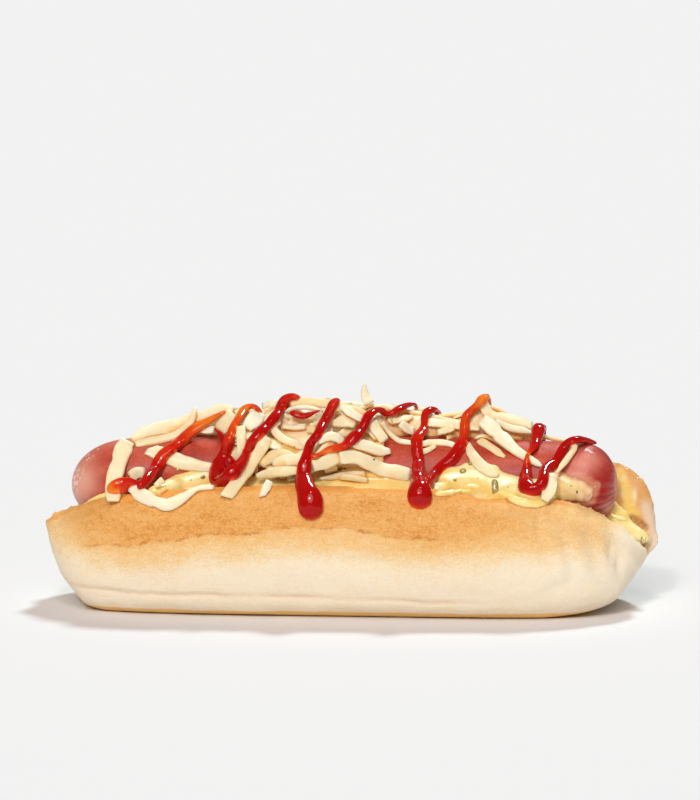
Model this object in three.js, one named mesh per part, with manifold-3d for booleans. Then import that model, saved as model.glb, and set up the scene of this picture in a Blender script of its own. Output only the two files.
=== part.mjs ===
// Dressed hot dog: a split white roll holding a frankfurter, with mustard relish sauce in the
// split, a heap of shredded cheese over the sausage and a zigzag of ketchup on top.
// Millimetres. X runs along the roll, +Y is the back, +Z is up.
// The origin is the centre of the roll's flat base, on the surface it rests on.
import * as THREE from "three";
import { mergeVertices } from "three/addons/utils/BufferGeometryUtils.js";
import Module from "manifold-3d";

// ---- driving dimensions ------------------------------------------------------------------
const ROLL_LEFT = 86.2; // distance from the origin to the left end of the unsplit roll
const ROLL_RIGHT = 87.6; // the same on the right
const BACK_LAG = 2.0; // the back half reaches this much further right than the front half
const ROLL_FRONT = 28.4; // half width of the front half at mid length
const ROLL_BACK = 28.0; // half width of the back half
const PLAN_POWER = 4.4; // fullness of the rounded ends seen from above
const DOME = 3.6; // how far the unsplit crust would rise above the cut edges
const LIP_BACK = 38.6; // height of the back cut edge at mid length
// Front cut edge: [station, height]. It sags where the sauce spills over it on the right.
const LIP_FRONT = [
  [-86, 25.6],
  [-81, 25.2],
  [-76, 27.2],
  [-69, 30.6],
  [-56, 33.6],
  [-30, 35.5],
  [15, 35.6],
  [38, 33.8],
  [60, 32.0],
  [70, 28.4],
  [80, 22.8],
  [87, 18.6],
];
// How the base curves up to each tip: [distance from the tip, height].
const KEEL_LEFT = [
  [0, 25.0],
  [2.0, 20.0],
  [4.0, 14.0],
  [6.6, 8.8],
  [10.0, 5.6],
  [14.0, 1.4],
  [19, 0],
];
const KEEL_RIGHT = [
  [0, 17.5],
  [2.4, 13.4],
  [5.2, 8.6],
  [11, 4.8],
  [19, 2.3],
  [31, 0],
];
const SPLIT_FLOOR = 16.0; // height of the bottom of the split
const SPLIT_RISE = 3.5; // how far it climbs to the left mouth
const SPLIT_HALF = 20.4; // half width of the split at the cut edges
const MOUTH_LEFT = 7.0; // the same at the left mouth
const MOUTH_RIGHT = 9.6;

const SAUSAGE_LEFT = -77.6;
const SAUSAGE_RIGHT = 76.4;
const SAUSAGE_R = 11.3;
const SAUSAGE_AXIS = 34.9; // height of the axis at the ends
const SAUSAGE_ARCH = 1.8; // how far the middle stands above the ends
const SAUSAGE_BOW = 2.2; // sideways bend
const CAP_LEFT = 13.0; // length of the rounded left end
const CAP_RIGHT = 10.0;
const KNOT_R = 2.8; // pinched casing at each end

const SAUCE_LEFT = -80.5;
const SAUCE_RIGHT = 86.0;
const CHEESE_LEFT = -71.0;
const CHEESE_RIGHT = 61.0;
const CHEESE_DEPTH = 8.2; // thickness of the heap over the sausage
const CHEESE_LUMP = 1.5; // unevenness of the heap

const KETCHUP_R = 1.75; // half width of the squeezed line
const GAP = 0.3; // clearance between touching pieces

// ---- small helpers -----------------------------------------------------------------------
const clamp01 = (v) => Math.min(1, Math.max(0, v));
const smooth = (a, b, v) => {
  const t = clamp01((v - a) / (b - a));
  return t * t * (3 - 2 * t);
};
const bell = (v, centre, width) => Math.exp(-(((v - centre) / width) ** 2));

// Reads a short [place, value] profile with eased steps between its entries.
function profile(list, x) {
  if (x <= list[0][0]) return list[0][1];
  const last = list.length - 1;
  for (let i = 0; i < last; i++) {
    const [x0, y0] = list[i];
    const [x1, y1] = list[i + 1];
    if (x > x1) continue;
    const slope = (a, b) => (list[b][1] - list[a][1]) / (list[b][0] - list[a][0]);
    const m0 = slope(Math.max(0, i - 1), i + 1) * (x1 - x0);
    const m1 = slope(i, Math.min(last, i + 2)) * (x1 - x0);
    const t = (x - x0) / (x1 - x0);
    const t2 = t * t;
    const t3 = t2 * t;
    return (
      (2 * t3 - 3 * t2 + 1) * y0 + (t3 - 2 * t2 + t) * m0 + (3 * t2 - 2 * t3) * y1 + (t3 - t2) * m1
    );
  }
  return list[last][1];
}

function volumeOf(g) {
  const p = g.getAttribute("position");
  const index = g.index.array;
  const a = new THREE.Vector3();
  const b = new THREE.Vector3();
  const c = new THREE.Vector3();
  let v = 0;
  for (let i = 0; i < index.length; i += 3) {
    a.fromBufferAttribute(p, index[i]);
    b.fromBufferAttribute(p, index[i + 1]);
    c.fromBufferAttribute(p, index[i + 2]);
    v += a.dot(b.cross(c)) / 6;
  }
  return v;
}

// A closed skin with `along` rings of `around` points and a pole at each end, shaped by
// place(v, u, at): v runs 0..1 from end to end, u runs 0..1 round the ring.
function loft(along, around, place) {
  const g = new THREE.SphereGeometry(1, around, along);
  const p = g.getAttribute("position");
  const at = new THREE.Vector3();
  const pole = new THREE.Vector3();
  for (let i = 0, n = 0; i <= along; i++) {
    const closed = i === 0 || i === along;
    pole.set(0, 0, 0);
    for (let j = 0; j < around && closed; j++) {
      place(i / along, j / around, at);
      pole.addScaledVector(at, 1 / around);
    }
    for (let j = 0; j <= around; j++, n++) {
      if (closed) at.copy(pole);
      else place(i / along, (j % around) / around, at);
      p.setXYZ(n, at.x, at.y, at.z);
    }
  }
  g.deleteAttribute("normal");
  g.deleteAttribute("uv");
  const m = mergeVertices(g, 1e-4);
  if (volumeOf(m) < 0) {
    const index = m.index.array;
    for (let i = 0; i < index.length; i += 3)
      [index[i + 1], index[i + 2]] = [index[i + 2], index[i + 1]];
  }
  return m;
}

const wasm = await Module();
wasm.setup();
const solid = (g) =>
  new wasm.Manifold(
    new wasm.Mesh({
      numProp: 3,
      vertProperties: new Float32Array(g.getAttribute("position").array),
      triVerts: new Uint32Array(g.index.array),
    }),
  );
// The largest body of a solid: crumbs left by a cut are dropped.
const largest = (s) => s.decompose().reduce((a, b) => (b.volume() > a.volume() ? b : a));
function geometryOf(s) {
  const m = s.getMesh();
  const v = new Float32Array(m.numVert * 3);
  for (let i = 0; i < m.numVert; i++)
    v.set(m.vertProperties.subarray(i * m.numProp, i * m.numProp + 3), i * 3);
  return new THREE.BufferGeometry()
    .setAttribute("position", new THREE.BufferAttribute(v, 3))
    .setIndex(new THREE.BufferAttribute(new Uint32Array(m.triVerts), 1));
}

// ---- the roll ----------------------------------------------------------------------------
const reach = (x) => (x < 0 ? ROLL_LEFT : ROLL_RIGHT);
const planShare = (x) => Math.max(0, 1 - Math.abs(x / reach(x)) ** PLAN_POWER) ** 0.5;
const baseZ = (x) =>
  x < 0 ? profile(KEEL_LEFT, ROLL_LEFT + x) : profile(KEEL_RIGHT, ROLL_RIGHT - x);
const lipFront = (x) => profile(LIP_FRONT, x);
const lipBack = (x) =>
  LIP_BACK -
  15 * smooth(-52, -86, x) ** 1.3 -
  17 * (1 - Math.sqrt(1 - clamp01((x - 62) / (ROLL_RIGHT + 1 - 62)) ** 2.8));
// The back half lags to the right, so stations there are drawn out a little.
const lag = (x, y) => BACK_LAG * smooth(45, 86, x) * smooth(-7, 12, y);
const halfWidth = (x, side) => (side < 0 ? ROLL_FRONT : ROLL_BACK) * planShare(x);

// Half section from the middle of the base out, up the side and over the crust: shares of
// the half width and of the height to the cut edge. The dome is cut away by the split.
const SIDE = [
  [0, 0],
  [0.36, 0],
  [0.7, 0],
  [0.825, 0.035],
  [0.9, 0.1],
  [0.935, 0.165],
  [0.972, 0.27],
  [1.0, 0.45],
  [0.992, 0.64],
  [0.945, 0.82],
  [0.86, 0.94],
  [0.74, 1.01],
  [0.4, 1.06],
  [0, 1.06],
];
const RING = SIDE.length * 2 - 2;
function rollSection(x) {
  const zb = baseZ(x);
  const point = ([share, height], side) => {
    const h = (side < 0 ? lipFront(x) : lipBack(x)) - zb;
    const up = height > 1 ? h + (height - 1) * (DOME / 0.06) : height * h;
    return [side * share * halfWidth(x, side), zb + up];
  };
  const top = Math.max(lipFront(x), lipBack(x)) + DOME;
  return [
    ...SIDE.map((s) => point(s, -1)),
    ...SIDE.slice(1, -1)
      .reverse()
      .map((s) => point(s, 1)),
  ].map(([y, z], i) => (i === SIDE.length - 1 ? [y, top] : [y, z]));
}
function crust(grow = 0) {
  return loft(30, RING, (v, u, at) => {
    const share = -Math.cos(Math.PI * v);
    const x = share * reach(share);
    if (v === 0 || v === 1) {
      at.set(x + Math.sign(share) * grow, 0, 0.5 * (baseZ(x) + lipFront(x)));
      return;
    }
    const j = Math.round(u * RING);
    const ring = rollSection(x);
    const [y, z] = ring[j];
    const [ay, az] = ring[(j + RING - 1) % RING];
    const [by, bz] = ring[(j + 1) % RING];
    const out = new THREE.Vector2(az - bz, by - ay).normalize();
    at.set(x + share ** 9 * grow + lag(x, y), y + grow * out.x, z + grow * out.y);
  });
}
// The split: an open trough that runs out of both ends. `grow` makes it wider and deeper.
const splitFloor = (x) =>
  SPLIT_FLOOR + SPLIT_RISE * smooth(-40, -ROLL_LEFT, x) - 1.6 * smooth(50, ROLL_RIGHT, x);
function splitHalf(x, side) {
  const end = x < 0 ? MOUTH_LEFT : MOUTH_RIGHT;
  const t = smooth(x < 0 ? -46 : 40, x < 0 ? -ROLL_LEFT : ROLL_RIGHT, x);
  return SPLIT_HALF + (end - SPLIT_HALF) * t ** 1.2;
}
const TROUGH = [0, 0.12, 0.3, 0.52, 0.76, 1.0, 1.5];
function split(grow = 0) {
  const around = TROUGH.length * 2 - 1;
  return loft(30, around, (v, u, at) => {
    const x = (2 * v - 1) * (ROLL_RIGHT + 8);
    const j = Math.round(u * around);
    const side = j < TROUGH.length ? -1 : 1;
    const k = TROUGH[side < 0 ? j : around - j];
    const f = splitFloor(x) - grow;
    const lip = side < 0 ? lipFront(x) : lipBack(x);
    const w = splitHalf(x, side) * k ** 0.62 + (k > 0 ? grow : 0);
    const inside = v > 0 && v < 1 ? 1 : 0;
    at.set(x, side * w * inside, k > 1 ? 80 : f + k * (lip - f));
  });
}

// ---- the frankfurter ---------------------------------------------------------------------
const S_MID = (SAUSAGE_LEFT + SAUSAGE_RIGHT) / 2;
const S_HALF = (SAUSAGE_RIGHT - SAUSAGE_LEFT) / 2;
const axisZ = (x) => SAUSAGE_AXIS + SAUSAGE_ARCH * (1 - ((x - S_MID) / S_HALF) ** 2);
const axisY = (x) => 0.6 - SAUSAGE_BOW * ((x - S_MID) / S_HALF) ** 2;
function sausageR(x) {
  const a = clamp01((SAUSAGE_LEFT + CAP_LEFT - x) / CAP_LEFT);
  const b = clamp01((x - SAUSAGE_RIGHT + CAP_RIGHT) / CAP_RIGHT);
  return SAUSAGE_R * Math.sqrt(Math.max(0, 1 - a ** 2.4)) * Math.sqrt(Math.max(0, 1 - b ** 2.4));
}
function sausage(grow = 0) {
  return loft(26, 18, (v, u, at) => {
    const share = -Math.cos(Math.PI * v);
    const end = Math.sign(share) * smooth(0.9, 1, Math.abs(share));
    const x = S_MID + share * S_HALF;
    const pole = v === 0 || v === 1;
    const r = pole ? 0 : Math.max(sausageR(x), KNOT_R) + grow;
    const a = 2 * Math.PI * u;
    at.set(
      x + end * grow + (pole ? Math.sign(share) * 0.8 : 0),
      axisY(x) + r * Math.cos(a),
      axisZ(x) + r * Math.sin(a) - 1.2 * Math.abs(end),
    );
  });
}

// ---- fillings ----------------------------------------------------------------------------
// A filling lies between two ends, from floor(x) up to top(x, across) and out to wide(x, side).
function filling({ left, right, along, around, wide, top, floor }, grow) {
  const mid = (left + right) / 2;
  const half = (right - left) / 2 + grow;
  return loft(along, around, (v, u, at) => {
    const share = -Math.cos(Math.PI * v);
    const x = mid + share * half;
    const e = Math.sqrt(Math.max(0, 1 - Math.abs(share) ** 5));
    const c = Math.cos(2 * Math.PI * u);
    const s = Math.sin(2 * Math.PI * u);
    const side = c < 0 ? -1 : 1;
    const f = floor(x);
    const middle = f + 0.42 * (top(x, 0) - f);
    const up = s > 0 ? top(x, c) - middle : middle - f;
    const q = 0.8; // squarer than an ellipse
    at.set(
      x,
      (wide(x, side) * e + grow) * side * Math.abs(c) ** q,
      middle + Math.sign(s) * Math.abs(s) ** q * (up * e + grow),
    );
  });
}
// The sauce spills over the front cut edge in a row of lobes on the right.
const spill = (x) => smooth(20, 27, x) * smooth(63, 54, x);
const sauceShape = {
  left: SAUCE_LEFT,
  right: SAUCE_RIGHT,
  along: 26,
  around: 14,
  wide: (x, side) =>
    side < 0
      ? splitHalf(x, -1) * (0.98 + 0.1 * bell(x, -50, 13)) +
        spill(x) * (4.2 + 1.3 * Math.sin(0.62 * x + 0.6))
      : splitHalf(x, 1) * (0.98 + 0.07 * Math.sin(0.21 * x)),
  top: (x, c) => {
    const lip = c < 0 ? lipFront(x) : lipBack(x);
    const rim = lip + 1.4 + 0.5 * Math.sin(0.45 * x) + (c < 0 ? 1.6 * spill(x) : 0);
    return Math.min(rim, axisZ(x) + 4) - 2.2 * smooth(70, 84, x) - 2 * smooth(-70, -80, x);
  },
  floor: (x) => splitFloor(x) - 1,
};
const sauceBody = (grow = 0) => filling(sauceShape, grow);

const sausageTop = (x) => axisZ(x) + SAUSAGE_R;
const heap = (x) =>
  Math.sqrt(
    Math.max(0, 1 - Math.abs((2 * x - CHEESE_LEFT - CHEESE_RIGHT) / (CHEESE_RIGHT - CHEESE_LEFT)) ** 3),
  );
const lump = (x, c) =>
  CHEESE_LUMP *
  (0.5 * Math.sin(0.43 * x + 2.1 * c) +
    0.42 * Math.sin(0.97 * x - 3.1 * c + 1.3) +
    0.36 * Math.sin(0.23 * x + 4.3 * c + 0.4));
const cheeseShape = {
  left: CHEESE_LEFT,
  right: CHEESE_RIGHT,
  along: 34,
  around: 18,
  wide: (x, side) =>
    (side < 0 ? 22.4 - 8.0 * smooth(22, 30, x) : 21.6) * (0.8 + 0.2 * heap(x)) + lump(x, 1.5 * side),
  top: (x, c) => sausageTop(x) + CHEESE_DEPTH * heap(x) + lump(x, c) - 1.5 * c * c,
  floor: () => 33,
};
const cheeseBody = (grow = 0) => filling(cheeseShape, grow);

// ---- ketchup -----------------------------------------------------------------------------
// One squeezed line. Each entry is [station, angle]: the angle is measured round the
// sausage's axis in degrees from straight up, negative to the front.
const LINE = [
  [-64.5, -88],
  [-52, -42],
  [-36, 0],
  [-30.5, 50],
  [-27.5, 6],
  [-32, -26],
  [-36.5, -87],
  [-25.5, -34],
  [-16, 0],
  [-9.5, 56],
  [-3.8, 6],
  [-6, -30],
  [-9.8, -84],
  [-9.6, -98],
  [-6.5, -66],
  [6, -30],
  [14, 0],
  [20.5, 50],
  [25, 8],
  [22.5, -30],
  [20.6, -76],
  [20.8, -93],
  [25.5, -70],
  [35, -24],
  [39.5, 2],
  [47, 54],
  [54, 4],
  [53.4, -24],
  [51, -62],
  [52.2, -84],
  [59.5, -58],
  [65, -26],
  [71, -14],
];
// Thick beads where the line starts, hangs over the front and turns: [station, angle, size].
const BEADS = [
  [-64.4, -86, 2.4],
  [-9.8, -95, 3.1],
  [20.7, -89, 2.9],
  [51.6, -80, 2.3],
];
const HUB_Z = 34; // height of the line that the angles turn about
const SPACING = 4.9;

// The outside of the dressed roll at a station and an angle, and the way out from there.
function outside(under, x, degrees) {
  const a = THREE.MathUtils.degToRad(degrees);
  const out = new THREE.Vector3(0, Math.sin(a), Math.cos(a));
  const from = new THREE.Vector3(x, 0, HUB_Z).addScaledVector(out, 90);
  const ray = new THREE.Raycaster(from, out.clone().negate());
  return [ray.intersectObjects(under)[0].point, out];
}
function bead(under, [x, degrees, r]) {
  const [at, out] = outside(under, x, degrees);
  const along = new THREE.Vector3(0, -out.z, out.y);
  const g = new THREE.SphereGeometry(1, 7, 6);
  g.applyMatrix4(
    new THREE.Matrix4().makeBasis(
      new THREE.Vector3(r, 0, 0),
      along.multiplyScalar(1.35 * r),
      out.clone().multiplyScalar(0.8 * r),
    ),
  );
  g.translate(...at.addScaledVector(out, 0.5 * r + GAP));
  g.deleteAttribute("normal");
  g.deleteAttribute("uv");
  const m = mergeVertices(g, 1e-4);
  if (volumeOf(m) < 0) m.index.array.reverse();
  return solid(m);
}
function strand(under) {
  const plan = new THREE.CatmullRomCurve3(
    LINE.map(([x, a]) => new THREE.Vector3(x, a / 3.2, 0)),
    false,
    "catmullrom",
    0.5,
  );
  const steps = Math.round(plan.getLength() / SPACING);
  const line = [];
  const half = [];
  for (let i = 0; i <= steps; i++) {
    const p = plan.getPointAt(i / steps);
    const r = KETCHUP_R + 0.2 * Math.sin(1.9 * i);
    const [at, out] = outside(under, p.x, p.y * 3.2);
    line.push(at.addScaledVector(out, 0.84 * r + GAP));
    half.push(r);
  }
  const n = line.length - 1;
  // Ease the heights so that the line bridges the dips between lumps.
  for (let pass = 0; pass < 2; pass++)
    for (let i = 1; i < n; i++) {
      const mean = line[i - 1].clone().add(line[i + 1]).multiplyScalar(0.5);
      const height = (q) => Math.hypot(q.y, q.z - HUB_Z);
      const lift = Math.max(0, height(mean) - height(line[i]));
      line[i].addScaledVector(new THREE.Vector3(0, line[i].y, line[i].z - HUB_Z).normalize(), 0.7 * lift);
    }
  const path = new THREE.CatmullRomCurve3(line);
  return loft(n + 2, 5, (v, u, at) => {
    const k = Math.round(v * (n + 2)) - 1; // an extra ring at each end rounds it off
    const i = Math.min(n, Math.max(0, k));
    const p = line[i];
    const d = path.getTangent(i / n);
    const out = new THREE.Vector3(0, p.y, p.z - HUB_Z).normalize();
    out.addScaledVector(d, -out.dot(d)).normalize();
    const across = new THREE.Vector3().crossVectors(d, out);
    const tip = k < 0 ? -1 : k > n ? 1 : 0;
    const r = (tip ? 0 : i === 0 || i === n ? 0.75 : 1) * half[i];
    const a = 2 * Math.PI * u;
    at.copy(p)
      .addScaledVector(across, r * Math.cos(a))
      .addScaledVector(out, 0.85 * r * Math.sin(a))
      .addScaledVector(d, tip * 0.8 * half[i]);
  });
}

// ---- fitting the pieces to each other ------------------------------------------------------
const sausageSolid = solid(sausage());
const sausageGrown = solid(sausage(GAP));
const rollSolid = largest(solid(crust()).subtract(solid(split())).subtract(sausageGrown));
const rollGrown = solid(crust(GAP)).subtract(solid(split(-GAP)));
const sauceSolid = largest(solid(sauceBody()).subtract(rollGrown).subtract(sausageGrown));
const sauceGrown = solid(sauceBody(GAP));
const cheeseSolid = largest(
  solid(cheeseBody()).subtract(rollGrown).subtract(sausageGrown).subtract(sauceGrown),
);
const under = [rollSolid, sausageSolid, sauceSolid, cheeseSolid].map(
  (s) => new THREE.Mesh(geometryOf(s), new THREE.MeshBasicMaterial({ side: THREE.DoubleSide })),
);
const ketchupSolid = largest(
  BEADS.reduce((s, b) => s.add(bead(under, b)), solid(strand(under)))
    .subtract(rollGrown)
    .subtract(sausageGrown)
    .subtract(sauceGrown)
    .subtract(solid(cheeseBody(GAP))),
);

const part = new THREE.Group();
function add(name, s, colour, roughness) {
  const mesh = new THREE.Mesh(
    geometryOf(s),
    new THREE.MeshStandardMaterial({ color: colour, roughness, metalness: 0 }),
  );
  mesh.name = name;
  part.add(mesh);
}
add("bun", rollSolid, 0xe9b877, 0.75);
add("sausage", sausageSolid, 0xb9604c, 0.35);
add("relish_sauce", sauceSolid, 0xeecb62, 0.3);
add("shredded_cheese", cheeseSolid, 0xf6e2b4, 0.55);
add("ketchup", ketchupSolid, 0xc01812, 0.2);

export default part;
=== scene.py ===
"""Looks of the dressed hot dog: a split roll, a frankfurter, mustard relish sauce, shredded
cheese and a zigzag of ketchup. Lengths are worked in millimetres and stored in metres.
X runs along the roll, +Y is the back, +Z is up."""
import bpy
import math
import random
import numpy as np
from mathutils import Matrix, Vector
from mathutils.bvhtree import BVHTree


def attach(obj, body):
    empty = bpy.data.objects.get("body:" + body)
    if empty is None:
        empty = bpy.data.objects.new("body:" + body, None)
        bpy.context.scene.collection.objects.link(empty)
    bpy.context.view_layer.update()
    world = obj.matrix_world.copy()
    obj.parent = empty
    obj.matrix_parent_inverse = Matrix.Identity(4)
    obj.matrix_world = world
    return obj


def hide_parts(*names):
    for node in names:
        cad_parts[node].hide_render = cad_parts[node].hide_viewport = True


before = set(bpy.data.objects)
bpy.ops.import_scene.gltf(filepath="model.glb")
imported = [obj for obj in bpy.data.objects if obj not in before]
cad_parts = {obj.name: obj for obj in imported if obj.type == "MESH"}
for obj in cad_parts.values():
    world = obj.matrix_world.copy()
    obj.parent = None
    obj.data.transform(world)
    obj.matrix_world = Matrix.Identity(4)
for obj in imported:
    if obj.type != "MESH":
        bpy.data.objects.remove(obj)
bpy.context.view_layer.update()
MM = 0.001
scene = bpy.context.scene


# ------------------------------------------------------------------------------ numbers
def smooth(a, b, v):
    t = np.clip((np.asarray(v, float) - a) / (b - a), 0, 1)
    return t * t * (3 - 2 * t)


def bell(v, centre, width):
    return np.exp(-(((np.asarray(v, float) - centre) / width) ** 2))


def profile(table, x):
    """Reads a short [place, value] table with eased steps between its entries."""
    X = np.array([p[0] for p in table], float)
    Y = np.array([p[1] for p in table], float)
    x = np.clip(np.asarray(x, float), X[0], X[-1])
    i = np.clip(np.searchsorted(X, x, side="left") - 1, 0, len(X) - 2)
    last = len(X) - 1
    a, b = np.maximum(i - 1, 0), np.minimum(i + 2, last)
    h = X[i + 1] - X[i]
    m0 = (Y[i + 1] - Y[a]) / (X[i + 1] - X[a]) * h
    m1 = (Y[b] - Y[i]) / (X[b] - X[i]) * h
    t = (x - X[i]) / h
    t2, t3 = t * t, t * t * t
    return (
        (2 * t3 - 3 * t2 + 1) * Y[i] + (t3 - 2 * t2 + t) * m0 + (3 * t2 - 2 * t3) * Y[i + 1] + (t3 - t2) * m1
    )


def lattice(ix, iy, iz, seed):
    n = (ix * 374761393 + iy * 668265263 + iz * 1440662683 + seed * 1274126177) & 0xFFFFFFFF
    n = ((n ^ (n >> 13)) * 1274126177) & 0xFFFFFFFF
    n = ((n ^ (n >> 15)) * 2246822519) & 0xFFFFFFFF
    return ((n ^ (n >> 16)) & 0xFFFFFF) / float(0xFFFFFF) * 2 - 1


def noise(p, size, seed=0):
    """Smooth value noise in -1..1 at points p, with cells of `size` mm (a number or one per axis)."""
    q = np.asarray(p, float) / np.asarray(size, float)
    i = np.floor(q).astype(np.int64)
    f = q - i
    f = f * f * f * (f * (f * 6 - 15) + 10)
    out = np.zeros(len(q))
    for dx in (0, 1):
        wx = f[:, 0] if dx else 1 - f[:, 0]
        for dy in (0, 1):
            wy = f[:, 1] if dy else 1 - f[:, 1]
            for dz in (0, 1):
                wz = f[:, 2] if dz else 1 - f[:, 2]
                out += wx * wy * wz * lattice(i[:, 0] + dx, i[:, 1] + dy, i[:, 2] + dz, seed)
    return out


def fbm(p, size, octaves=4, seed=0, fall=0.5):
    out, amp, total = 0, 1.0, 0.0
    for k in range(octaves):
        out = out + amp * noise(p, np.asarray(size, float) / 2**k, seed + 17 * k)
        total += amp
        amp *= fall
    return out / total


def wave(x, size, seed):
    """Noise along one axis."""
    x = np.asarray(x, float)
    flat = np.atleast_1d(x).ravel()
    n = noise(np.column_stack([flat, np.full(len(flat), 3.7), np.full(len(flat), 9.1)]), size, seed)
    return n.reshape(x.shape) if x.ndim else float(n[0])


def curve_through(points, count):
    """Smooth curve through control points, evenly spaced along its length."""
    p = np.asarray(points, float)
    if len(p) == 2:
        return p[0] + (p[1] - p[0]) * np.linspace(0, 1, count)[:, None]
    q = np.vstack([2 * p[0] - p[1], p, 2 * p[-1] - p[-2]])
    fine = []
    for i in range(1, len(q) - 2):
        t = np.linspace(0, 1, 16, endpoint=False)[:, None]
        a, b, c, d = q[i - 1], q[i], q[i + 1], q[i + 2]
        fine.append(
            0.5 * (2 * b + (c - a) * t + (2 * a - 5 * b + 4 * c - d) * t**2 + (3 * b - a - 3 * c + d) * t**3)
        )
    fine = np.vstack(fine + [p[-1:]])
    step = np.linalg.norm(np.diff(fine[:, :2], axis=0), axis=1)
    s = np.concatenate([[0], np.cumsum(step)])
    at = np.linspace(0, s[-1], count)
    return np.column_stack([np.interp(at, s, fine[:, k]) for k in range(p.shape[1])])


# ------------------------------------------------------------------------------ meshes
def link(name, mesh):
    o = bpy.data.objects.new(name, mesh)
    scene.collection.objects.link(o)
    return o


def mesh_object(name, verts, faces):
    m = bpy.data.meshes.new(name)
    m.from_pydata((np.asarray(verts, float) * MM).tolist(), [], [list(map(int, f)) for f in faces])
    m.update()
    return link(name, m)


def ring_faces(rings, around, start=0, closed=True):
    i = np.arange(rings - 1)[:, None] * around
    j = np.arange(around if closed else around - 1)[None, :]
    k = (j + 1) % around
    return (start + np.stack([i + j, i + k, i + around + k, i + around + j], -1)).reshape(-1, 4)


def lofted(grid):
    """Closed skin through rings of points (rings, around, 3), capped with a flat polygon at each end."""
    rings, around, _ = grid.shape
    faces = ring_faces(rings, around).tolist()
    faces.append(list(range(around))[::-1])
    faces.append([(rings - 1) * around + j for j in range(around)])
    return grid.reshape(-1, 3), faces


def verts_of(o):
    co = np.empty(len(o.data.vertices) * 3, np.float32)
    o.data.vertices.foreach_get("co", co)
    return co.reshape(-1, 3).astype(float) / MM


def normals_of(o):
    no = np.empty(len(o.data.vertices) * 3, np.float32)
    o.data.vertices.foreach_get("normal", no)
    return no.reshape(-1, 3).astype(float)


def set_verts(o, v):
    o.data.vertices.foreach_set("co", (np.asarray(v) * MM).astype(np.float32).ravel())
    o.data.update()


def attribute(o, name, values):
    a = o.data.attributes.get(name) or o.data.attributes.new(name, "FLOAT", "POINT")
    a.data.foreach_set("value", np.asarray(values, np.float32))


def shade(o):
    o.data.polygons.foreach_set("use_smooth", np.ones(len(o.data.polygons), bool))
    o.data.update()


def frozen(o):
    """Applies the modifiers."""
    dg = bpy.context.evaluated_depsgraph_get()
    m = bpy.data.meshes.new_from_object(o.evaluated_get(dg))
    old = o.data
    o.modifiers.clear()
    o.data = m
    bpy.data.meshes.remove(old)
    return o


def outward(o):
    """Turns the faces outward."""
    import bmesh

    b = bmesh.new()
    b.from_mesh(o.data)
    bmesh.ops.recalc_face_normals(b, faces=b.faces)
    b.to_mesh(o.data)
    b.free()
    return o


def cut(o, tool):
    mod = o.modifiers.new("cut", "BOOLEAN")
    mod.operation = "DIFFERENCE"
    mod.solver = "EXACT"
    mod.object = tool
    frozen(o)
    bpy.data.objects.remove(tool)
    return o


def remesh(o, size):
    mod = o.modifiers.new("remesh", "REMESH")
    mod.mode = "VOXEL"
    mod.voxel_size = size * MM
    mod.adaptivity = 0
    return frozen(o)


def largest(o):
    """Keeps only the largest connected piece."""
    import bmesh

    e = edges_of(o)
    label = np.arange(len(o.data.vertices))
    while True:
        low = np.minimum(label[e[:, 0]], label[e[:, 1]])
        new = label.copy()
        np.minimum.at(new, e[:, 0], low)
        np.minimum.at(new, e[:, 1], low)
        new = new[new]
        if (new == label).all():
            break
        label = new
    ids, count = np.unique(label, return_counts=True)
    drop = np.nonzero(label != ids[count.argmax()])[0]
    if len(drop):
        b = bmesh.new()
        b.from_mesh(o.data)
        b.verts.ensure_lookup_table()
        bmesh.ops.delete(b, geom=[b.verts[int(i)] for i in drop], context="VERTS")
        b.to_mesh(o.data)
        b.free()
    return o


def edges_of(o):
    e = np.empty(len(o.data.edges) * 2, np.int32)
    o.data.edges.foreach_get("vertices", e)
    return e.reshape(-1, 2)


def relax(o, passes, factor=0.5, hold=None):
    """Laplacian smoothing. `hold` is a 0..1 share that each point keeps of its place."""
    v = verts_of(o)
    e = edges_of(o)
    n = len(v)
    count = np.bincount(e.ravel(), minlength=n)[:, None]
    f = factor if hold is None else factor * (1 - hold)[:, None]
    for k in range(passes):
        mean = np.column_stack(
            [
                np.bincount(e[:, 0], v[e[:, 1], c], n) + np.bincount(e[:, 1], v[e[:, 0], c], n)
                for c in range(3)
            ]
        ) / count
        v = v + f * (mean - v)
    set_verts(o, v)
    return v


def tree_of(objects):
    verts, faces = [], []
    for o in objects:
        n = len(verts)
        verts += [tuple(p) for p in verts_of(o)]
        faces += [[n + i for i in p.vertices] for p in o.data.polygons]
    return BVHTree.FromPolygons(verts, faces)


# ------------------------------------------------------------------------------ camera
AZIMUTH, ELEVATION, DISTANCE = math.radians(4.5), math.radians(9.0), 1100.0
TARGET = np.array([0.0, 0.0, 27.0])
SCALE = 3.53  # picture pixels per mm at the target
FOCAL = SCALE * DISTANCE
right0 = np.array([math.cos(AZIMUTH), math.sin(AZIMUTH), 0.0])
back0 = np.array(
    [math.sin(AZIMUTH) * math.cos(ELEVATION), -math.cos(AZIMUTH) * math.cos(ELEVATION), math.sin(ELEVATION)]
)
EYE = TARGET + back0 * DISTANCE
aim = TARGET + np.cross(back0, right0) * (509 - 400) / SCALE + right0 * (350 - 347) / SCALE
BACK = (EYE - aim) / np.linalg.norm(EYE - aim)
RIGHT = np.cross([0, 0, 1.0], BACK)
RIGHT /= np.linalg.norm(RIGHT)
UP = np.cross(BACK, RIGHT)

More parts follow.
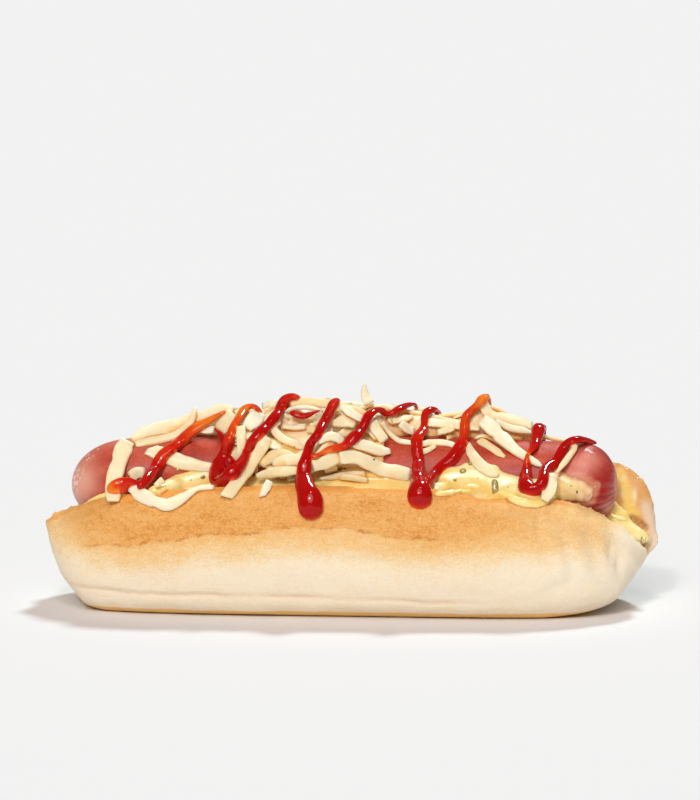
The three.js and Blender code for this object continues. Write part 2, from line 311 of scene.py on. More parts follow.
cam = bpy.data.objects.new("camera", bpy.data.cameras.new("camera"))
scene.collection.objects.link(cam)
cam.data.sensor_fit = "HORIZONTAL"
cam.data.sensor_width = 36
cam.data.lens = 36 * FOCAL / 700
cam.data.clip_start = 0.05
cam.data.clip_end = 100
m = Matrix.Identity(4)
for k, axis in enumerate((RIGHT, UP, BACK)):
    for r in range(3):
        m[r][k] = float(axis[r])
for r in range(3):
    m[r][3] = float(EYE[r] * MM)
cam.matrix_world = m
scene.camera = cam


def sight(px, py):
    d = RIGHT * (px - 350) / FOCAL - UP * (py - 400) / FOCAL - BACK
    return d / np.linalg.norm(d)


def picture(p):
    q = np.asarray(p, float) - EYE
    z = -(q @ BACK)
    return np.stack([350 + FOCAL * (q @ RIGHT) / z, 400 - FOCAL * (q @ UP) / z], -1)


# ------------------------------------------------------------------------------ the roll
ROLL_LEFT, ROLL_RIGHT, BACK_LAG = 86.2, 87.5, 1.5
ROLL_FRONT, ROLL_BACK, PLAN_POWER, DOME, LIP_BACK = 28.4, 28.0, 4.4, 3.6, 38.6
LIP_FRONT = [
    [-86, 25.0], [-81, 24.6], [-76, 26.2], [-69, 29.2], [-56, 33.4], [-30, 35.5],
    [15, 35.6], [38, 33.8], [60, 32.0], [70, 28.4], [80, 22.8], [87, 18.6],
]
KEEL_LEFT = [[0, 25.0], [2.0, 20.0], [4.0, 14.0], [6.6, 8.8], [10.0, 5.6], [14.0, 1.4], [19, 0]]
KEEL_RIGHT = [[0, 18.0], [2.4, 15.4], [4.3, 12.5], [6.2, 9.6], [7.8, 6.8], [9.8, 4.4], [12.8, 2.7], [19, 1.2], [30, 0]]
SPLIT_FLOOR, SPLIT_RISE, SPLIT_HALF, MOUTH_LEFT, MOUTH_RIGHT = 16.0, 3.5, 20.4, 7.0, 9.6
SIDE = [
    [0, 0], [0.36, 0], [0.7, 0], [0.825, 0.035], [0.9, 0.1], [0.935, 0.165], [0.972, 0.27],
    [1.0, 0.45], [0.992, 0.64], [0.945, 0.82], [0.86, 0.94], [0.74, 1.01], [0.4, 1.06], [0, 1.06],
]


def reach(x):
    return np.where(np.asarray(x) < 0, ROLL_LEFT, ROLL_RIGHT)


def plan_share(x):
    return np.sqrt(np.maximum(0, 1 - np.abs(x / reach(x)) ** PLAN_POWER))


def base_z(x):
    return np.where(np.asarray(x) < 0, profile(KEEL_LEFT, ROLL_LEFT + x), profile(KEEL_RIGHT, ROLL_RIGHT - x))


def lip_front(x):
    return profile(LIP_FRONT, x)


def lip_back(x):
    return (
        LIP_BACK
        - 18.5 * smooth(-54, -86, x) ** 1.3
        - 17 * (1 - np.sqrt(1 - np.clip((x - 62) / (ROLL_RIGHT + 1 - 62), 0, 1) ** 2.55))
    )


def lag(x, y):
    return smooth(45, 86, x) * (BACK_LAG * smooth(-7, 12, y) - 1.5 * smooth(4, -14, y))


def split_floor(x):
    return SPLIT_FLOOR + SPLIT_RISE * smooth(-40, -ROLL_LEFT, x) - 1.6 * smooth(50, ROLL_RIGHT, x)


def split_half(x, side):
    x = np.asarray(x, float)
    end = np.where(x < 0, MOUTH_LEFT, MOUTH_RIGHT)
    t = np.where(x < 0, smooth(-46, -ROLL_LEFT, x), smooth(40, ROLL_RIGHT, x))
    return SPLIT_HALF + (end - SPLIT_HALF) * t**1.2


# The cut edge isn't ruled: it waves and has small nicks.
def lip_wave(x, side):
    return 0.55 * wave(x, 9.0, 11 + side) + 0.35 * wave(x, 3.1, 23 + side)


def split_wall(x, side, z):
    """Half width of the split at a height."""
    f = split_floor(x)
    lip = np.where(np.asarray(side) < 0, lip_front(x), lip_back(x))
    k = np.clip((z - f) / (lip - f), 0, None)
    low = np.minimum(k, 1) ** 0.62
    return split_half(x, side) * np.where(k <= 1, low, 1 + 0.286 * (z - lip) / (80 - lip))


def make_roll():
    side = curve_through(SIDE, 64)
    along = 230
    rings = []
    for i in range(1, along):
        share = -math.cos(math.pi * i / along)
        x = share * float(reach(share))
        zb = float(base_z(x))
        pts = []
        for s, order in ((-1, side), (1, side[-2:0:-1])):
            lip = float(lip_front(x) if s < 0 else lip_back(x))
            h = lip - zb
            half = (ROLL_FRONT if s < 0 else ROLL_BACK) * float(plan_share(x))
            y = s * order[:, 0] * half
            up = np.where(order[:, 1] > 1, h + (order[:, 1] - 1) * (DOME / 0.06), order[:, 1] * h)
            pts.append(np.column_stack([np.full(len(y), x) + lag(x, y), y, zb + up]))
        ring = np.vstack(pts)
        ring[:, 2] = np.maximum(ring[:, 2], zb)
        rings.append(ring)
    whole = np.array(rings)

    # The open split, as one long trough through both ends.
    s = np.linspace(-1.286, 1.286, 61)
    rings = []
    for x in np.linspace(-ROLL_RIGHT - 8, ROLL_RIGHT + 8, 150):
        sd = np.where(s < 0, -1, 1)
        calm = 1 - float(smooth(60, 68, x))
        lip = np.where(sd < 0, lip_front(x) + lip_wave(x, -1), lip_back(x) + (0.15 + 0.85 * calm) * lip_wave(x, 1))
        f = float(split_floor(x))
        k = np.abs(s)
        z = np.where(k <= 1, f + (lip - f) * np.minimum(k, 1) ** (1 / 0.62), lip + (80 - lip) * (k - 1) / 0.286)
        y = sd * k * (split_half(x, sd) + 0.3 * wave(x, 5.0, 31) * sd)
        rings.append(np.column_stack([np.full(len(y), x), y, z]))
    trough = np.array(rings)
    for nudge in (0.031, 0.0, -0.043, 0.077, -0.09, 0.13, -0.17, 0.21):
        o = outward(mesh_object("bun_look", *lofted(whole)))
        cut(o, outward(mesh_object("trough", *lofted(trough + np.array([nudge, 0, nudge])))))
        cut(o, outward(mesh_object("hollow", *lofted(sausage_rings(0.15, 90, 48) + np.array([-nudge, nudge, 0])))))
        remesh(o, 0.68)
        largest(o)
        v = verts_of(o)
        # A sound cut leaves both halves and the foot in one piece and the split open all along.
        sound = len(v) > 4000 and np.ptp(v[:, 0]) > 165 and np.ptp(v[:, 1]) > 50 and np.ptp(v[:, 2]) > 35
        tree = tree_of([o])
        for x, y, top in ((-82, 0, 26), (-40, 15, 34), (-40, -15, 34), (10, 15, 34), (10, -15, 34), (50, 14, 32), (50, -14, 32), (81, 0, 25)):
            hit = tree.ray_cast(Vector((x, y, 70)), Vector((0, 0, -1)), 69)
            sound = sound and hit[0] is not None and hit[0].z < top
        print("roll cut, nudge", nudge, "sound", sound)
        if sound:
            break
        bpy.data.objects.remove(o)
    relax(o, 2, 0.5)
    v = verts_of(o)
    relax(o, 14, 0.5, hold=1 - smooth(64, 70, v[:, 0]) * (v[:, 1] > 0) * smooth(14, 20, v[:, 2]))
    return o


# Stations and heights of the flaky seam where the top crust has lifted from the side.
SEAM = [[-72, 18.5], [-66.5, 19.4], [-51.6, 21.2], [-37.9, 23.7], [-27.8, 24.0], [-14.7, 25.5], [-0.3, 26.1],
        [7.8, 24.7], [16.4, 23.4], [23.8, 23.7], [34, 23.0]]
# The groove above the foot of the roll.
GROOVE = [[-78, 7.3], [-50, 6.6], [-10, 6.1], [20, 5.6], [44, 5.0]]
# Dents of the side: station, height, half length, half height, depth.
DENTS = [
    (55.0, 27.6, 1.5, 4.2, 0.85), (52.3, 24.6, 1.2, 2.8, 0.35), (58.6, 28.6, 1.6, 3.0, 0.35),
    (60.3, 9.8, 2.4, 1.5, 0.55), (63.6, 11.6, 1.6, 2.2, 0.4), (77.2, 14.8, 1.2, 2.8, 0.7), (74.6, 18.5, 1.0, 2.4, 0.4),
    (80.0, 13.0, 1.4, 2.0, 0.35), (-70.0, 14.0, 2.0, 2.5, 0.3), (-31.0, 27.5, 2.2, 1.6, 0.3), (4.0, 17.0, 5.0, 1.1, 0.25),
]


def finish_roll(o):
    v = verts_of(o)
    no = normals_of(o)
    x, y, z = v.T
    side = np.where(y < 0, -1.0, 1.0)
    # How far a point is outside the wall of the split: about 0 on the cut face.
    away = np.abs(y) - split_wall(x - lag(x, y), side, z)
    facing = -no[:, 1] * side * 0.6 + no[:, 2] * 0.5
    crumb = smooth(0.9, 0.25, away) * (z > split_floor(x) - 1.0)
    # The crust folds in over the right end of the back half.
    lip = np.where(side < 0, lip_front(x), lip_back(x))
    inner = smooth(2.6, 0.8, away) * (side > 0) * smooth(65, 70, x)
    glaze = inner * smooth(17.5, 21.5, z)
    crumb *= 1 - smooth(66, 71, x) * smooth(18.5, 21.5, z) * (side > 0)
    # The front edge is toasted right up to the sauce.
    crumb *= 1 - smooth(lip - 2.4, lip - 0.9, z) * (side < 0)
    out = 1 - crumb
    lower = smooth(40, 30, z)

    seam_z = profile(SEAM, x) + 0.45 * wave(x, 4.5, 5) + 0.35 * wave(x, 1.7, 6)
    seam_on = smooth(-74, -66, x) * smooth(32, 22, x) * out * (side < 0)
    seam_back = 22.5 + 1.2 * wave(x, 18, 8) + 0.4 * wave(x, 3, 9)
    seam_b_on = smooth(-60, -44, x) * smooth(58, 40, x) * out * (side > 0) * smooth(-0.25, 0.2, wave(x, 26, 10))
    seam = np.where(side < 0, seam_z, seam_back)
    on = np.where(side < 0, seam_on, seam_b_on)
    d = z - seam
    flake = 0.34 * smooth(-0.5, 0.15, d) * smooth(7.0, 1.0, d) - 0.3 * bell(d, -0.75, 0.6)
    flake = flake * (0.5 + 0.75 * wave(x, 6.0, 12)) * on * (0.45 + 0.55 * smooth(-48, -30, x))

    groove_z = profile(GROOVE, x) + 0.35 * wave(x, 12, 13) + 0.2 * wave(x, 4, 18)
    g_on = smooth(-82, -77, x) * smooth(52, 30, x) * out * (side < 0)
    gb_on = smooth(-76, -60, x) * smooth(70, 50, x) * out * (side > 0)
    g_on = np.where(side < 0, g_on, 0.8 * gb_on)
    thin_on = 0.45 + 0.55 * smooth(-0.4, 0.5, wave(x, 13, 19))
    foot = -0.62 * bell(z - groove_z, 0, 0.5) * g_on * thin_on + 0.4 * bell(z, 3.4, 2.0) * g_on
    steep = 1 - np.abs(no[:, 2])

    dents = np.zeros(len(v))
    for cx, cz, lx, lz, depth in DENTS:
        dents -= depth * np.exp(-((((x - cx) / lx) ** 2) + ((z - cz) / lz) ** 2)) * (side < 0)
        dents -= 0.8 * depth * np.exp(-((((x + 0.83 * cx) / (1.3 * lx)) ** 2) + ((z - cz) / lz) ** 2)) * (side > 0)
    # Soft pulls of the crust towards the right end and swelling along the sides.
    swell = 0.55 * fbm(v, (24, 16, 12), 2, 41) + 0.22 * fbm(v, (8, 6, 5), 2, 42)
    pull = 0.28 * np.sin(0.9 * (x + 0.25 * z) + 1.5 * wave(x, 11, 14)) * smooth(44, 66, x) * smooth(32, 24, z) * smooth(8, 18, z)
    skin = 0.055 * fbm(v, (2.6, 2.6, 1.5), 3, 43) + 0.03 * fbm(v, 0.9, 2, 44)
    rough = 0.42 * fbm(v, 2.2, 3, 45) - 0.5 * smooth(0.25, 0.7, noise(v, 1.7, 46)) - 0.35 * smooth(0.35, 0.8, noise(v, 3.4, 47))
    edge = bell(z, lip, 1.6) * (away < 2.5)
    nick = 0.25 * fbm(v, 2.4, 3, 48) * edge * (1 - smooth(62, 68, x) * (side > 0))
    flat = smooth(0.25, 2.2, z)  # keeps the base flat where it rests
    push = out * (swell + pull + skin + flake * steep + foot * steep + dents) + crumb * rough + nick
    push = push + 2.8 * inner * bell(x, 76, 8) * bell(z, 28.5, 7)
    push = push * flat
    v = v + no * push[:, None]
    low = z < 0.6
    v[low, 2] = np.minimum(z[low], v[low, 2])
    v[:, 2] = np.maximum(v[:, 2], 0.02)
    set_verts(o, v)

    # Where the crust is baked golden: 1 at the top, 0 on the pale flank.
    top = smooth(-14.0, 1.0, d) * 0.8 + 0.2 * (smooth(-0.5, 0.3, d) * on + smooth(-5, 2, d) * (1 - on))
    fade = np.where(side < 0, smooth(-90, -52, x) * smooth(46, 14, x), smooth(-74, -30, x) * smooth(70, 28, x) * 0.6) * out
    plain = smooth(11.5, 26.0, z + 0.9 * wave(x, 15, 15))
    golden = top * fade + plain * (1 - fade)
    golden *= 1 - 0.32 * smooth(30, 68, x) * (side < 0)
    golden *= 1 - 0.45 * smooth(66, 80, x) * (side > 0)
    golden *= 1 - 0.8 * smooth(71, 79, x) * (side < 0) * smooth(31, 21, z)
    golden *= 1 - 0.3 * smooth(-70, -84, x)
    attribute(o, "golden", golden)
    attribute(o, "crumb", crumb)
    attribute(o, "seam", np.where(on > 0.05, d, 9.0))
    attribute(o, "seam_on", on)
    attribute(o, "rim", smooth(2.9, 0.9, z) * out)
    attribute(o, "lip", edge * out * (1 - smooth(60, 70, x)))
    attribute(o, "groove", bell(z - groove_z, 0, 0.5) * g_on * thin_on)
    q = picture(v)
    path_ = lambda pts: np.min(
        [
            np.linalg.norm(
                q - (np.array(a) + np.clip(((q - a) @ (np.array(b) - a)) / ((np.array(b) - a) @ (np.array(b) - a)), 0, 1)[:, None] * (np.array(b) - a)),
                axis=1,
            )
            for a, b in zip(pts[:-1], pts[1:])
        ],
        axis=0,
    )
    attribute(o, "glaze", glaze)
    attribute(o, "yolk", glaze * smooth(9.5, 3.0, path_([(620, 474), (627, 492), (630, 508), (633, 514)])))
    attribute(o, "milky", inner * smooth(9.5, 1.0, path_([(646, 506), (648, 512), (651, 522), (655, 533), (653, 546)])))
    spot_ = lambda cx, cy, rx, ry: np.exp(-(((q[:, 0] - cx) / rx) ** 2 + ((q[:, 1] - cy) / ry) ** 2))
    # Painted highlight: pale spots on the sauce glaze at the right mouth.
    attribute(o, "shine", glaze * np.clip(spot_(634.5, 495, 2.2, 7) + 0.8 * spot_(622.5, 494, 1.6, 4) + 0.5 * spot_(623, 478, 3, 2.5), 0, 1))
    # Painted shade: the crumb under the sauce lobe at the right mouth is coloured dark brown as if in shadow.
    attribute(o, "torn", (side > 0) * smooth(5.5, 2.0, path_([(632, 518), (638, 521), (645, 527)])) * smooth(66, 71, x) * (away < 3))
    shade(o)


# ------------------------------------------------------------------------------ the frankfurter
SAUSAGE_LEFT, SAUSAGE_RIGHT, SAUSAGE_R = -78.2, 76.4, 11.3
SAUSAGE_AXIS, SAUSAGE_ARCH, SAUSAGE_BOW, CAP_LEFT, CAP_RIGHT = 34.9, 1.8, 2.2, 15.5, 10.5
S_MID = (SAUSAGE_LEFT + SAUSAGE_RIGHT) / 2
S_HALF = (SAUSAGE_RIGHT - SAUSAGE_LEFT) / 2


def axis_z(x):
    return SAUSAGE_AXIS + SAUSAGE_ARCH * (1 - ((x - S_MID) / S_HALF) ** 2) - 1.3 * smooth(-56, -78, x)


def axis_y(x):
    return 0.6 - SAUSAGE_BOW * ((x - S_MID) / S_HALF) ** 2


def sausage_r(x):
    a = np.clip((SAUSAGE_LEFT + CAP_LEFT - x) / CAP_LEFT, 0, 1)
    b = np.clip((x - SAUSAGE_RIGHT + CAP_RIGHT) / CAP_RIGHT, 0, 1)
    return SAUSAGE_R * np.sqrt(np.maximum(0, 1 - a**2.4)) * np.sqrt(np.maximum(0, 1 - b**2.4))


# Creases of the casing at the right end: angle, width in degrees, depth, how far they reach.
CREASES = [(176, 5, 0.5, 9), (196, 4.5, 0.85, 12), (211, 4.5, 0.8, 10), (226, 5, 0.9, 13), (243, 5, 0.7, 9), (262, 6, 0.6, 8),
           (152, 6, 0.35, 8), (110, 8, 0.3, 9), (60, 9, 0.4, 9), (20, 8, 0.5, 9), (330, 8, 0.5, 9)]


def sausage_rings(grow, along, around, detail=False):
    v = np.linspace(0, 1, along + 1)[1:-1]
    share = -np.cos(np.pi * v)
    x = (S_MID + share * S_HALF)[:, None]
    a = (2 * np.pi * np.arange(around) / around)[None, :]
    r = sausage_r(x) + grow + 0 * a
    if detail:
        left = smooth(15, 0, x - SAUSAGE_LEFT)
        right = smooth(17, 0, SAUSAGE_RIGHT - x)
        pts = np.stack([x + 0 * a, 11 * np.cos(a) + 0 * x, 11 * np.sin(a) + 0 * x], -1).reshape(-1, 3)
        warp = noise(pts, 9, 61).reshape(r.shape)
        fold = 0.5 * np.sin(9 * a + 3 * warp + 0.05 * x) + 0.5 * np.sin(17 * a - 4 * warp)
        crease = -np.abs(np.sin(5.5 * a + 2.2 * warp + 0.6)) ** 0.6 + 0.7
        deg = np.degrees(a) + 6 * warp
        gap = SAUSAGE_RIGHT - x
        for at, wide, deep, far in CREASES:
            r = r - deep * bell(deg, at, wide) * smooth(far, 0.35 * far, gap) * smooth(-0.5, 1.8, gap)
            r = r + 0.35 * deep * bell(deg, at + 1.6 * wide, wide) * smooth(far, 0.35 * far, gap) * smooth(-0.5, 1.8, gap)
        r = r + right * 0.16 * fold * smooth(0.0, 5.0, gap)
        r = r + left * (0.16 * fold + 0.14 * crease)
        r = r + 0.22 * fbm(pts, (26, 9, 9), 2, 62).reshape(r.shape) + 0.09 * fbm(pts, (5, 4, 4), 2, 63).reshape(r.shape)
        r = np.maximum(r, 0.4)
    y = axis_y(x) + r * np.cos(a)
    z = axis_z(x) + r * np.sin(a)
    # A skew that would make the left end blunter below than above, set to zero.
    skew = 0.0 * smooth(9, 0, x - SAUSAGE_LEFT) * smooth(0.1, -0.8, np.sin(a)) if detail else 0 * r
    return np.stack([x + 0 * a - skew, y, z], -1)


def make_sausage():
    rings = sausage_rings(0.0, 260, 128, True)
    # Each end draws in to a small pucker of casing.
    wide = np.linalg.norm(rings - rings.mean(1, keepdims=True), axis=2).mean(1)
    rings = rings[(wide > 2.5)]
    ends = []
    for s, ring in ((-1, rings[0]), (1, rings[-1])):
        mid = ring.mean(0)
        extra = []
        for share, out in ((0.8, 0.13), (0.6, 0.16), (0.42, 0.0), (0.28, -0.35), (0.14, -0.5)):
            extra.append(mid + (ring - mid) * share + np.array([s * out, 0, 0]))
        ends.append(extra)
    grid = np.array(ends[0][::-1] + list(rings) + ends[1])
    o = outward(mesh_object("sausage_look", *lofted(grid)))
    shade(o)
    v = verts_of(o)
    attribute(o, "end", smooth(17, 2, SAUSAGE_RIGHT - v[:, 0]))
    attribute(o, "left_end", smooth(13, 1, v[:, 0] - SAUSAGE_LEFT))
    attribute(o, "tip", smooth(3.6, 0.6, SAUSAGE_RIGHT - v[:, 0]) * smooth(40, 30, v[:, 2]))
    q = picture(v)
    near = lambda cx, cy, rx, ry: np.exp(-(((q[:, 0] - cx) / rx) ** 2 + ((q[:, 1] - cy) / ry) ** 2)) * (v[:, 1] < 4)
    # Where the left end is wet: lower roughness, and painted glints as whitish-pink colour.
    attribute(o, "wet", np.clip(near(77, 474, 6, 8) + 0.8 * near(74, 486, 4, 8) + 0.5 * near(88, 457, 8, 5) + 0.5 * near(96, 448, 6, 4), 0, 1))
    # A whitish film of sauce on the left end, with a painted sheen there and a painted translucent rim at the right
    # tip.
    attribute(o, "veil", np.clip(near(74, 499, 6, 9) + 0.8 * near(84, 503, 10, 5) + 0.75 * near(84, 480, 12, 16)
                                + 0.8 * near(609, 508, 8, 6) + 0.55 * near(617, 488, 2.6, 18), 0, 1))
    # A painted broad pinkish sheen on the right of the casing, and a paler patch on the left.
    attribute(o, "pale", np.clip(near(584, 462, 17, 12) + 0.8 * near(135, 440, 34, 10), 0, 1))
    return o


# ------------------------------------------------------------------------------ pile map
# The outside of the dressed roll, kept as a radius over station and angle. Angles turn about
# the line y = 0, z = HUB, in degrees from straight up, negative to the front.
HUB = 34.0
XS = np.arange(-92, 92.01, 0.4)
TS = np.arange(-128, 128.01, 0.8)


class Pile:
    def __init__(self, objects):
        tree = tree_of(objects)
        self.r = np.zeros((len(XS), len(TS)))
        a = np.radians(TS)
        outs = [Vector((0, math.sin(t), math.cos(t))) for t in a]
        for i, x in enumerate(XS):
            for j, out in enumerate(outs):
                hit = tree.ray_cast(Vector((x, 0, HUB)) + 70 * out, -out, 90)
                self.r[i, j] = 70 - hit[3] if hit[0] is not None else 0.0

    def at(self, x, t, grid=None):
        fx = np.clip((np.asarray(x) - XS[0]) / 0.4, 0, len(XS) - 1.001)
        ft = np.clip((np.asarray(t) - TS[0]) / 0.8, 0, len(TS) - 1.001)
        i, j = fx.astype(int), ft.astype(int)
        u, w = fx - i, ft - j
        r = self.r if grid is None else grid
        return (
            r[i, j] * (1 - u) * (1 - w) + r[i + 1, j] * u * (1 - w) + r[i, j + 1] * (1 - u) * w + r[i + 1, j + 1] * u * w
        )

    def raise_to(self, x, t, r):
        i = np.clip(np.rint((x - XS[0]) / 0.4).astype(int), 0, len(XS) - 1).ravel()
        j = np.clip(np.rint((t - TS[0]) / 0.8).astype(int), 0, len(TS) - 1).ravel()
        np.maximum.at(self.r, (i, j), r.ravel())

    def widened(self, reach_):
        """A copy whose heights are the highest within `reach_` mm."""
        nx, nt = max(1, round(reach_ / 0.4)), max(1, round(math.degrees(reach_ / 19) / 0.8))
        out = self.r.copy()
        for k in range(1, nx + 1):
            out[k:] = np.maximum(out[k:], self.r[:-k])
            out[:-k] = np.maximum(out[:-k], self.r[k:])
        wide = out.copy()
        for k in range(1, nt + 1):
            wide[:, k:] = np.maximum(wide[:, k:], out[:, :-k])
            wide[:, :-k] = np.maximum(wide[:, :-k], out[:, k:])
        return wide

    def depths(self, px, py, lift=0.0, grid=None):
        """How far from the camera each line of sight meets the pile (raised by `lift`), or passes
        closest to it. The second result is the gap there."""
        d = np.array([sight(a, b) for a, b in zip(px, py)])
        s = np.arange(1040, 1160, 0.12)
        p = EYE + s[None, :, None] * d[:, None, :]
        r = np.hypot(p[..., 1], p[..., 2] - HUB)
        t = np.degrees(np.arctan2(p[..., 1], p[..., 2] - HUB))
        lift = np.broadcast_to(np.asarray(lift, float), (len(d),))
        gap = r - (self.at(p[..., 0], t, grid) + lift[:, None])
        under = gap <= 0
        i = np.where(under.any(1), under.argmax(1), gap.argmin(1))
        return s[i], gap[np.arange(len(d)), i], d

    def seen(self, px, py, lift=0.0):
        """Station, angle and radius where the line of sight through a picture point meets the pile."""
        s, gap, d = self.depths([px], [py], lift)
        p = EYE + s[0] * d[0]
        return p[0], math.degrees(math.atan2(p[1], p[2] - HUB)), math.hypot(p[1], p[2] - HUB), gap[0] <= 0

    def laid(self, pts, lift, reach_, slope=1.6, passes=6):
        """Points in space on the lines of sight through picture points, resting on the pile."""
        px, py = pts[:, 0], pts[:, 1]
        s, gap, d = self.depths(px, py, lift, self.widened(reach_) if reach_ else None)
        l = np.concatenate([[0], np.cumsum(np.hypot(np.diff(px), np.diff(py)))]) / SCALE
        env = np.min(s[None, :] + slope * np.abs(l[:, None] - l[None, :]), axis=1)
        soft = blur1(env.copy(), passes)
        soft[0], soft[-1] = soft[:3].mean(), soft[-3:].mean()
        s = np.minimum(soft, env + 0.25)
        s = blur1(s, 2)
        return EYE + s[:, None] * d


def on_sight(px, py, r):
    """Station and angle where the line of sight first comes to radius r."""
    d = sight(px, py)
    s = np.arange(1020, 1190, 0.1)
    p = EYE + s[:, None] * d
    q = np.hypot(p[:, 1], p[:, 2] - HUB)
    hit = np.nonzero(q <= r)[0]
    i = hit[0] if len(hit) else int(np.argmin(q))
    return p[i, 0], math.degrees(math.atan2(p[i, 1], p[i, 2] - HUB)), q[i]


def spot(x, t, r):
    a = np.radians(t)
    return np.stack([np.asarray(x, float), r * np.sin(a), HUB + r * np.cos(a)], -1)


def blur1(c, passes):
    for k in range(passes):
        c[1:-1] = 0.25 * c[:-2] + 0.5 * c[1:-1] + 0.25 * c[2:]
    return c


# ------------------------------------------------------------------------------ balls and blobs
def ball(n=10):
    """Points and faces of a round ball of radius 1."""
    th = np.linspace(0, np.pi, n + 1)[1:-1]
    ph = 2 * np.pi * np.arange(2 * n) / (2 * n)
    grid = np.stack(
        [np.sin(th)[:, None] * np.cos(ph), np.sin(th)[:, None] * np.sin(ph), np.cos(th)[:, None] + 0 * ph], -1
    )
    return lofted(grid)


class Blobs:
    """Closed rounded lumps that a remesh melts into one body."""

    def __init__(self, n=8):
        self.v, self.f = [], []
        self.shape = ball(n)
        self.count = 0

    def add(self, centre, axes, sizes):
        bv, bf = self.shape
        m = np.asarray(axes, float).T * np.asarray(sizes, float)
        self.v.append(bv @ m.T + centre)
        self.f += [[self.count + i for i in f] for f in bf]
        self.count += len(bv)

    def mesh(self, name):
        return outward(mesh_object(name, np.vstack(self.v), self.f))


def frame_at(t, along):
    """Across, along and outward unit vectors at an angle of the pile."""
    a = math.radians(t)
    out = np.array([0, math.sin(a), math.cos(a)])
    d = along - out * (along @ out)
    n = np.linalg.norm(d)
    d = d / n if n > 1e-6 else np.array([1.0, 0, 0])
    return np.cross(d, out), d, out


# ------------------------------------------------------------------------------ the sauce
SAUCE_LEFT, SAUCE_RIGHT = -80.5, 82.5


def spill(x):
    return smooth(20, 27, x) * smooth(63, 54, x)


def sauce_wide(x, side):
    if side < 0:
        return split_half(x, -1) * (0.98 + 0.1 * bell(x, -50, 13)) + spill(x) * 1.5
    return split_half(x, 1) * (0.98 + 0.05 * np.sin(0.21 * x))


def sauce_top(x, c):
    lip = lip_front(x) if c < 0 else lip_back(x)
    low = 3.0 * smooth(-40, -32, x) * smooth(27, 21, x)
    rim = lip + 0.5 + 0.7 * wave(x, 8, 71 if c < 0 else 72) + (0.8 * spill(x) + low if c < 0 else 0)
    return np.minimum(rim, axis_z(x) + 4) - 4.2 * smooth(68, 82, x) - 2 * smooth(-70, -80, x)


def make_sauce_fill():
    along, around = 200, 72
    mid, half = (SAUCE_LEFT + SAUCE_RIGHT) / 2, (SAUCE_RIGHT - SAUCE_LEFT) / 2
    rings = []
    for i in range(1, along):
        share = -math.cos(math.pi * i / along)
        x = mid + share * half
        e = math.sqrt(max(0, 1 - abs(share) ** 5))
        f = float(split_floor(x)) - 0.6
        ring = []
        for j in range(around):
            c, s = math.cos(2 * math.pi * j / around), math.sin(2 * math.pi * j / around)
            side = -1 if c < 0 else 1
            middle = f + 0.42 * (float(sauce_top(x, 0)) - f)
            up = float(sauce_top(x, c)) - middle if s > 0 else middle - f
            q = 0.8
            ring.append([x, float(sauce_wide(x, side)) * e * side * abs(c) ** q, middle + math.copysign(abs(s) ** q, s) * up * e])
        rings.append(ring)
    return lofted(np.array(rings))


def crop(zoom, ox, oy, *pts):
    """Points read off an enlarged part of the picture: (u, v, radius) to picture pixels."""
    return [(ox + p[0] / zoom, oy + p[1] / zoom) + tuple(q / zoom for q in p[2:]) for p in pts]


def c0(*p):
    return crop(5.6, 30, 360, *p)


def c1(*p):
    return crop(7.127, 150, 370, *p)


def c2(*p):
    return crop(7.127, 340, 360, *p)


def c3(*p):
    return crop(5.807, 500, 370, *p)


def c4(*p):
    return crop(11.2, 540, 420, *p)


# Lobes of sauce over the front edge: picture points with radii, then how proud they stand.
SAUCE_LOBES = [
    (c2((640, 900, 34), (700, 925, 50), (800, 915, 52), (880, 905, 50), (950, 905, 50), (1030, 905, 50), (1110, 915, 55),
        (1190, 945, 55), (1250, 965, 55), (1330, 985, 52), (1400, 990, 50), (1470, 975, 45), (1540, 950, 30)), 1.0),
    (c2((690, 960, 26), (800, 955, 30), (900, 948, 30), (1010, 946, 30), (1100, 955, 32), (1190, 985, 34), (1280, 1015, 36), (1370, 1030, 36),
        (1450, 1020, 32), (1520, 985, 26)), 1.3),
    (c2((680, 860, 60), (760, 840, 70), (850, 830, 72), (940, 830, 70), (1020, 840, 70), (1110, 855, 66), (1200, 880, 66),
        (1300, 900, 62), (1400, 905, 58), (1480, 900, 45)), 0.6),
    (c2((900, 760, 40), (1000, 770, 46), (1100, 790, 46)), 0.5),
    (c0((690, 750, 40), (760, 735, 52), (820, 705, 56), (880, 685, 55), (930, 668, 50), (1000, 650, 40)), 0.6),
    (c0((300, 812, 16), (360, 786, 24), (420, 762, 26), (480, 752, 20)), 0.6),
    (c1((660, 820, 30), (710, 805, 44), (800, 800, 48), (900, 790, 48), (980, 795, 48), (1060, 800, 40)), 0.8),
    (c1((1160, 830, 34), (1260, 822, 42), (1360, 810, 44), (1460, 800, 44), (1560, 790, 44)), 0.8),
    (c2((60, 805, 40), (160, 800, 46), (280, 810, 46), (400, 825, 46), (500, 840, 44)), 0.8),
    ([(298, 475, 5.5), (308, 474, 6.5), (320, 473, 6.5), (332, 472, 6), (342, 473, 5)], 0.5),
    (c3((310, 600, 42), (380, 640, 42), (440, 690, 36), (520, 740, 22)), 0.35),
    ([(611, 514, 3.0), (617, 518, 4.2), (623, 522, 5.6), (630, 527, 7.0), (635, 531, 8.4), (639, 535, 9.4), (642, 538, 9.4)], 0.6),
    ([(630, 534, 6.5), (637, 539, 8.5), (643, 541, 6.5)], 0.5),
]
# Thin film of sauce on the side of the sausage's right end.
SAUCE_FILM = [(557, 492, 6), (562, 486, 7), (568, 484, 8), (575, 484, 8.5), (582, 486, 8), (588, 490, 7), (563, 496, 7),
              (571, 494, 9), (580, 495, 8.5), (587, 499, 6), (592, 495, 4), (596, 486, 3.4)]
# Sauce on the wall at the right mouth: picture point, radius, thickness in mm.
WALL = [(621, 508, 5, 0.6), (626, 513, 5, 0.6)]
